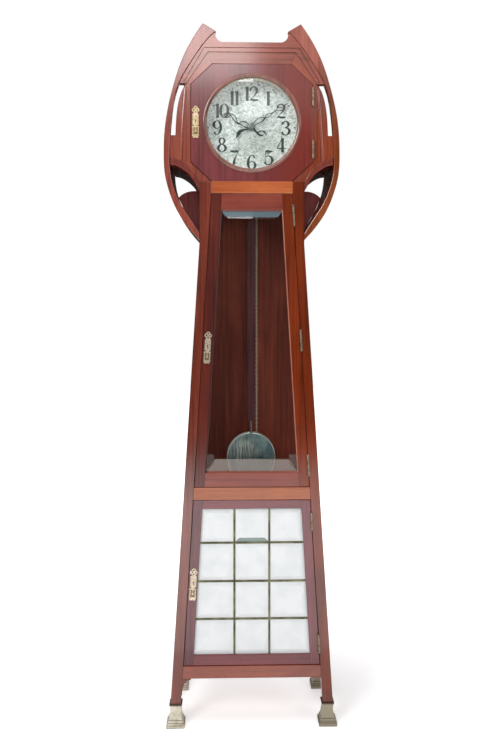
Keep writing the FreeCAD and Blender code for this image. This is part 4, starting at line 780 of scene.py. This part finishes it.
def chain(name, path, body, replaced):
    """Brass chain: links of 1.9 mm wire set along a path by Geometry Nodes, each turned a quarter from the last."""
    pattern = bpy.data.objects.new("chain_link_pattern", chain_link(10.8 * MM, 6.6 * MM, 1.9 * MM))
    guide_curve = bpy.data.curves.new(name + "_guide", "CURVE")
    guide_curve.dimensions = "3D"
    spline = guide_curve.splines.new("POLY")
    spline.points.add(len(path) - 1)
    for point, place in zip(spline.points, path):
        point.co = (*place, 1)
    guide = bpy.data.objects.new(name + "_guide", guide_curve)
    for helper in (pattern, guide):
        scene.collection.objects.link(helper)
    tree, given = new_growth(name + "_links", {"Pitch": 7.1 * MM})
    line = add(tree, "GeometryNodeObjectInfo", {"Object": guide}).outputs["Geometry"]
    one = add(tree, "GeometryNodeObjectInfo", {"Object": pattern}).outputs["Geometry"]
    spaced = add(tree, "GeometryNodeResampleCurve", {"Curve": line, "Length": given["Pitch"]}, mode="LENGTH")
    run = add(tree, "GeometryNodeInputTangent")
    upright = add(tree, "FunctionNodeAlignEulerToVector", {"Vector": run}, axis="Z")
    number = add(tree, "GeometryNodeInputIndex")
    quarter = calc(tree, "MULTIPLY", number, math.pi / 2)
    spin = add(tree, "CombineXYZ", {2: quarter})
    turned = add(tree, "FunctionNodeRotateEuler", {0: upright, 1: spin}, space="LOCAL")
    links = add(tree, "GeometryNodeInstanceOnPoints", {"Points": spaced, "Instance": one, "Rotation": turned})
    mesh = grown(tree, links, chain_brass, name)
    for helper in (pattern, guide):
        bpy.data.objects.remove(helper)
    return piece_from(mesh, name, chain_brass, body, replaced)


def chains():
    """The chain from the sprocket down to the weight's hook, and its loose end over the sprocket."""
    radius, depth = 20.4 * MM, 62 * MM
    axle, hook, loose_end, lift = 1846.2 * MM, 836 * MM, 1650 * MM, 0.75
    fall = chain("driving_chain_links", [(radius, depth, axle), (radius, depth, hook - 2 * MM)], "driving_weight",
                 ("chain",))
    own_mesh(fall)
    # Over the sprocket in sixteen steps, then down to the loose end.
    over = [(radius * math.cos(a * math.pi / 16), depth, axle + radius * math.sin(a * math.pi / 16))
            for a in range(1, 16)]
    path = [(radius, depth, axle)] + over + [(-radius, depth, axle), (-radius, depth, loose_end)]
    chain("loose_chain_links", path, "case", ("chain_tail",))


numerals()
minute_track()
hands()
sight_ring()
reeds()
glazing_bead()
chains()


def soften(width, *names):
    """Sandpaper in a maker's hand rounds every arris, and that is what catches the light."""
    for name in names:
        piece = nodes[name]
        weld = piece.modifiers.new("weld", "WELD")
        weld.merge_threshold = 0.02 * MM
        flat = piece.modifiers.new("flat", "DECIMATE")
        flat.decimate_type = "DISSOLVE"
        flat.angle_limit = math.radians(1)
        edge = piece.modifiers.new("arris", "BEVEL")
        edge.width = width
        edge.segments = 2
        edge.limit_method = "ANGLE"
        edge.angle_limit = math.radians(40)
        edge.use_clamp_overlap = True


soften(1.2 * MM, "stile_front_left", "stile_front_right", "stile_rear_left", "stile_rear_right", "rail_upper",
       "rail_middle", "rail_bottom", "waist_door", "lower_door", "foot_bracket")
soften(2.0 * MM, "hood_door", "hood_frame", "hoop_left", "hoop_right", "shoulder_left", "shoulder_right")


# Stage: a pale floor that keeps the shadow, a white surround, and a studio that shows only in the polish.

def white_for_sight(tree):
    """1 for the rays that should find plain white: the camera's, and those that polish or glass sends on."""
    path = add(tree, "LightPath").outputs
    seen = calc(tree, "MAXIMUM", path["Is Camera Ray"], path["Is Glossy Ray"])
    return calc(tree, "MAXIMUM", seen, path["Is Transmission Ray"])


def sheet_of(name, corners, material, hidden=()):
    """Flat sheets of four corners each, hidden from some kinds of ray."""
    mesh = bpy.data.meshes.new(name)
    mesh.from_pydata(corners, [], [(i, i + 1, i + 2, i + 3) for i in range(0, len(corners), 4)])
    sheet = bpy.data.objects.new(name, mesh)
    scene.collection.objects.link(sheet)
    mesh.materials.append(material)
    for kind in hidden:
        setattr(sheet, "visible_" + kind, False)


def stage():
    """The floor, the studio walls and the white surround."""
    floor_paint, tree, position = new_material("floor_white_paint")
    # The floor's own light makes up for what the lamps lose with distance, so that it stays white up to the surround.
    away = add(tree, "VectorMath", {0: position}, operation="LENGTH")
    makes_up = remap(tree, away, 0.3, 2.6, 0.42)
    # It is held back to the right of the feet, so that the key lamp's long shadow shows there.
    aside = add(tree, "SeparateXYZ", {0: position})
    past_foot = remap(tree, aside, 0.20, 0.28)
    from_foot = add(tree, "VectorMath", {0: position, 1: (0.30, 0, 0)}, operation="DISTANCE")
    held = remap(tree, from_foot, 0.15, 0.58, 0.21, 0.0)
    taken = calc(tree, "MULTIPLY", held, past_foot)
    left_over = calc(tree, "SUBTRACT", makes_up, taken)
    glow = add(tree, "Emission", {"Color": (1, 1, 1, 1), "Strength": left_over})
    lit = add(tree, "BsdfDiffuse", {0: colour("F0F0F0")})
    together = add(tree, "AddShader", {0: lit, 1: glow})
    mixed = add(tree, "MixShader", {0: white_for_sight(tree), 1: lit, 2: together})
    sheet_of("floor", [(-7, -4.1, 0), (7, -4.1, 0), (7, 9, 0), (-7, 9, 0)], surfaced(floor_paint, mixed))

    # Grey studio walls, seen only in polish and metal.
    wall_paint, tree, _ = new_material("studio_wall_grey")
    surfaced(wall_paint, add(tree, "Emission", {"Color": colour("2E2A2A"), "Strength": 1.0}))
    count, radius, top = 24, 4.1, 2.75
    unseen = ("camera", "diffuse", "shadow", "volume_scatter")
    for name, first, hidden in (("wall_behind", 0, unseen + ("transmission",)), ("wall_before", count // 2, unseen)):
        corners = []
        for k in range(first, first + count // 2):
            a, b = 2 * math.pi * k / count, 2 * math.pi * (k + 1) / count
            corners += [(radius * math.cos(turn), radius * math.sin(turn), z)
                        for turn, z in ((a, 0), (b, 0), (b, top), (a, top))]
        sheet_of(name, corners, wall_paint, hidden)

    world = bpy.data.worlds.new("studio")
    scene.world = world
    world.use_nodes = True
    tree = world.node_tree
    tree.nodes.clear()
    strength = add(tree, "Mix", {0: white_for_sight(tree), 2: 0.36, 3: 1.0})
    light = add(tree, "Background", {"Color": (1, 1, 1, 1), "Strength": strength})
    add(tree, "OutputWorld", {"Surface": light})


def lamp(name, place, target, size, power, hidden=()):
    """A soft lamp that faces its target, unseen by the camera and by the hidden kinds of ray. Power is in watts."""
    data = bpy.data.lights.new(name, "AREA")
    data.shape = "RECTANGLE"
    data.size, data.size_y = size
    data.energy = power
    light = bpy.data.objects.new(name, data)
    scene.collection.objects.link(light)
    light.location = place
    light.rotation_euler = (Vector(target) - Vector(place)).to_track_quat("-Z", "Y").to_euler()
    for kind in ("camera",) + hidden:
        setattr(light, "visible_" + kind, False)


stage()
lamp("key_softbox", (-2.3, -3.4, 3.3), (0, 0, 1.1), (1.6, 1.6), 86)
lamp("fill_softbox", (2.8, -3.0, 2.0), (0, 0, 1.1), (1.6, 2.0), 30)
lamp("front_softbox", (0.0, -4.0, 1.7), (0, 0, 1.3), (1.4, 1.4), 32, ("glossy", "transmission"))
lamp("top_softbox", (0.0, -0.8, 4.2), (0, 0, 1.0), (2.4, 1.6), 45, ("glossy",))
lamp("back_softbox", (0.6, 3.4, 2.6), (0, 0, 1.2), (2.4, 1.6), 55, ("glossy",))
# These two only shine in the polish: a high band on the hood, and a pale floor.
lamp("high_strip", (-0.95, -3.6, 3.45), (-0.5, 0, 2.0), (2.2, 1.0), 44, ("diffuse",))
lamp("floor_card", (0.0, -1.7, 0.02), (0, -1.7, 2.0), (3.0, 2.2), 16, ("diffuse",))

# The camera stands a little left of the clock and looks level. The shift frames the clock as the photograph does.
camera_data = bpy.data.cameras.new("camera")
camera_data.sensor_width = 36.0
camera_data.lens = 37.8
camera_data.shift_y = -0.0987
camera = bpy.data.objects.new("camera", camera_data)
scene.collection.objects.link(camera)
camera.location = (-0.0685, -2.4845, 1.270)
camera.rotation_euler = (math.radians(90), 0, math.radians(-1.525))
scene.camera = camera
scene.view_settings.view_transform = "Standard"
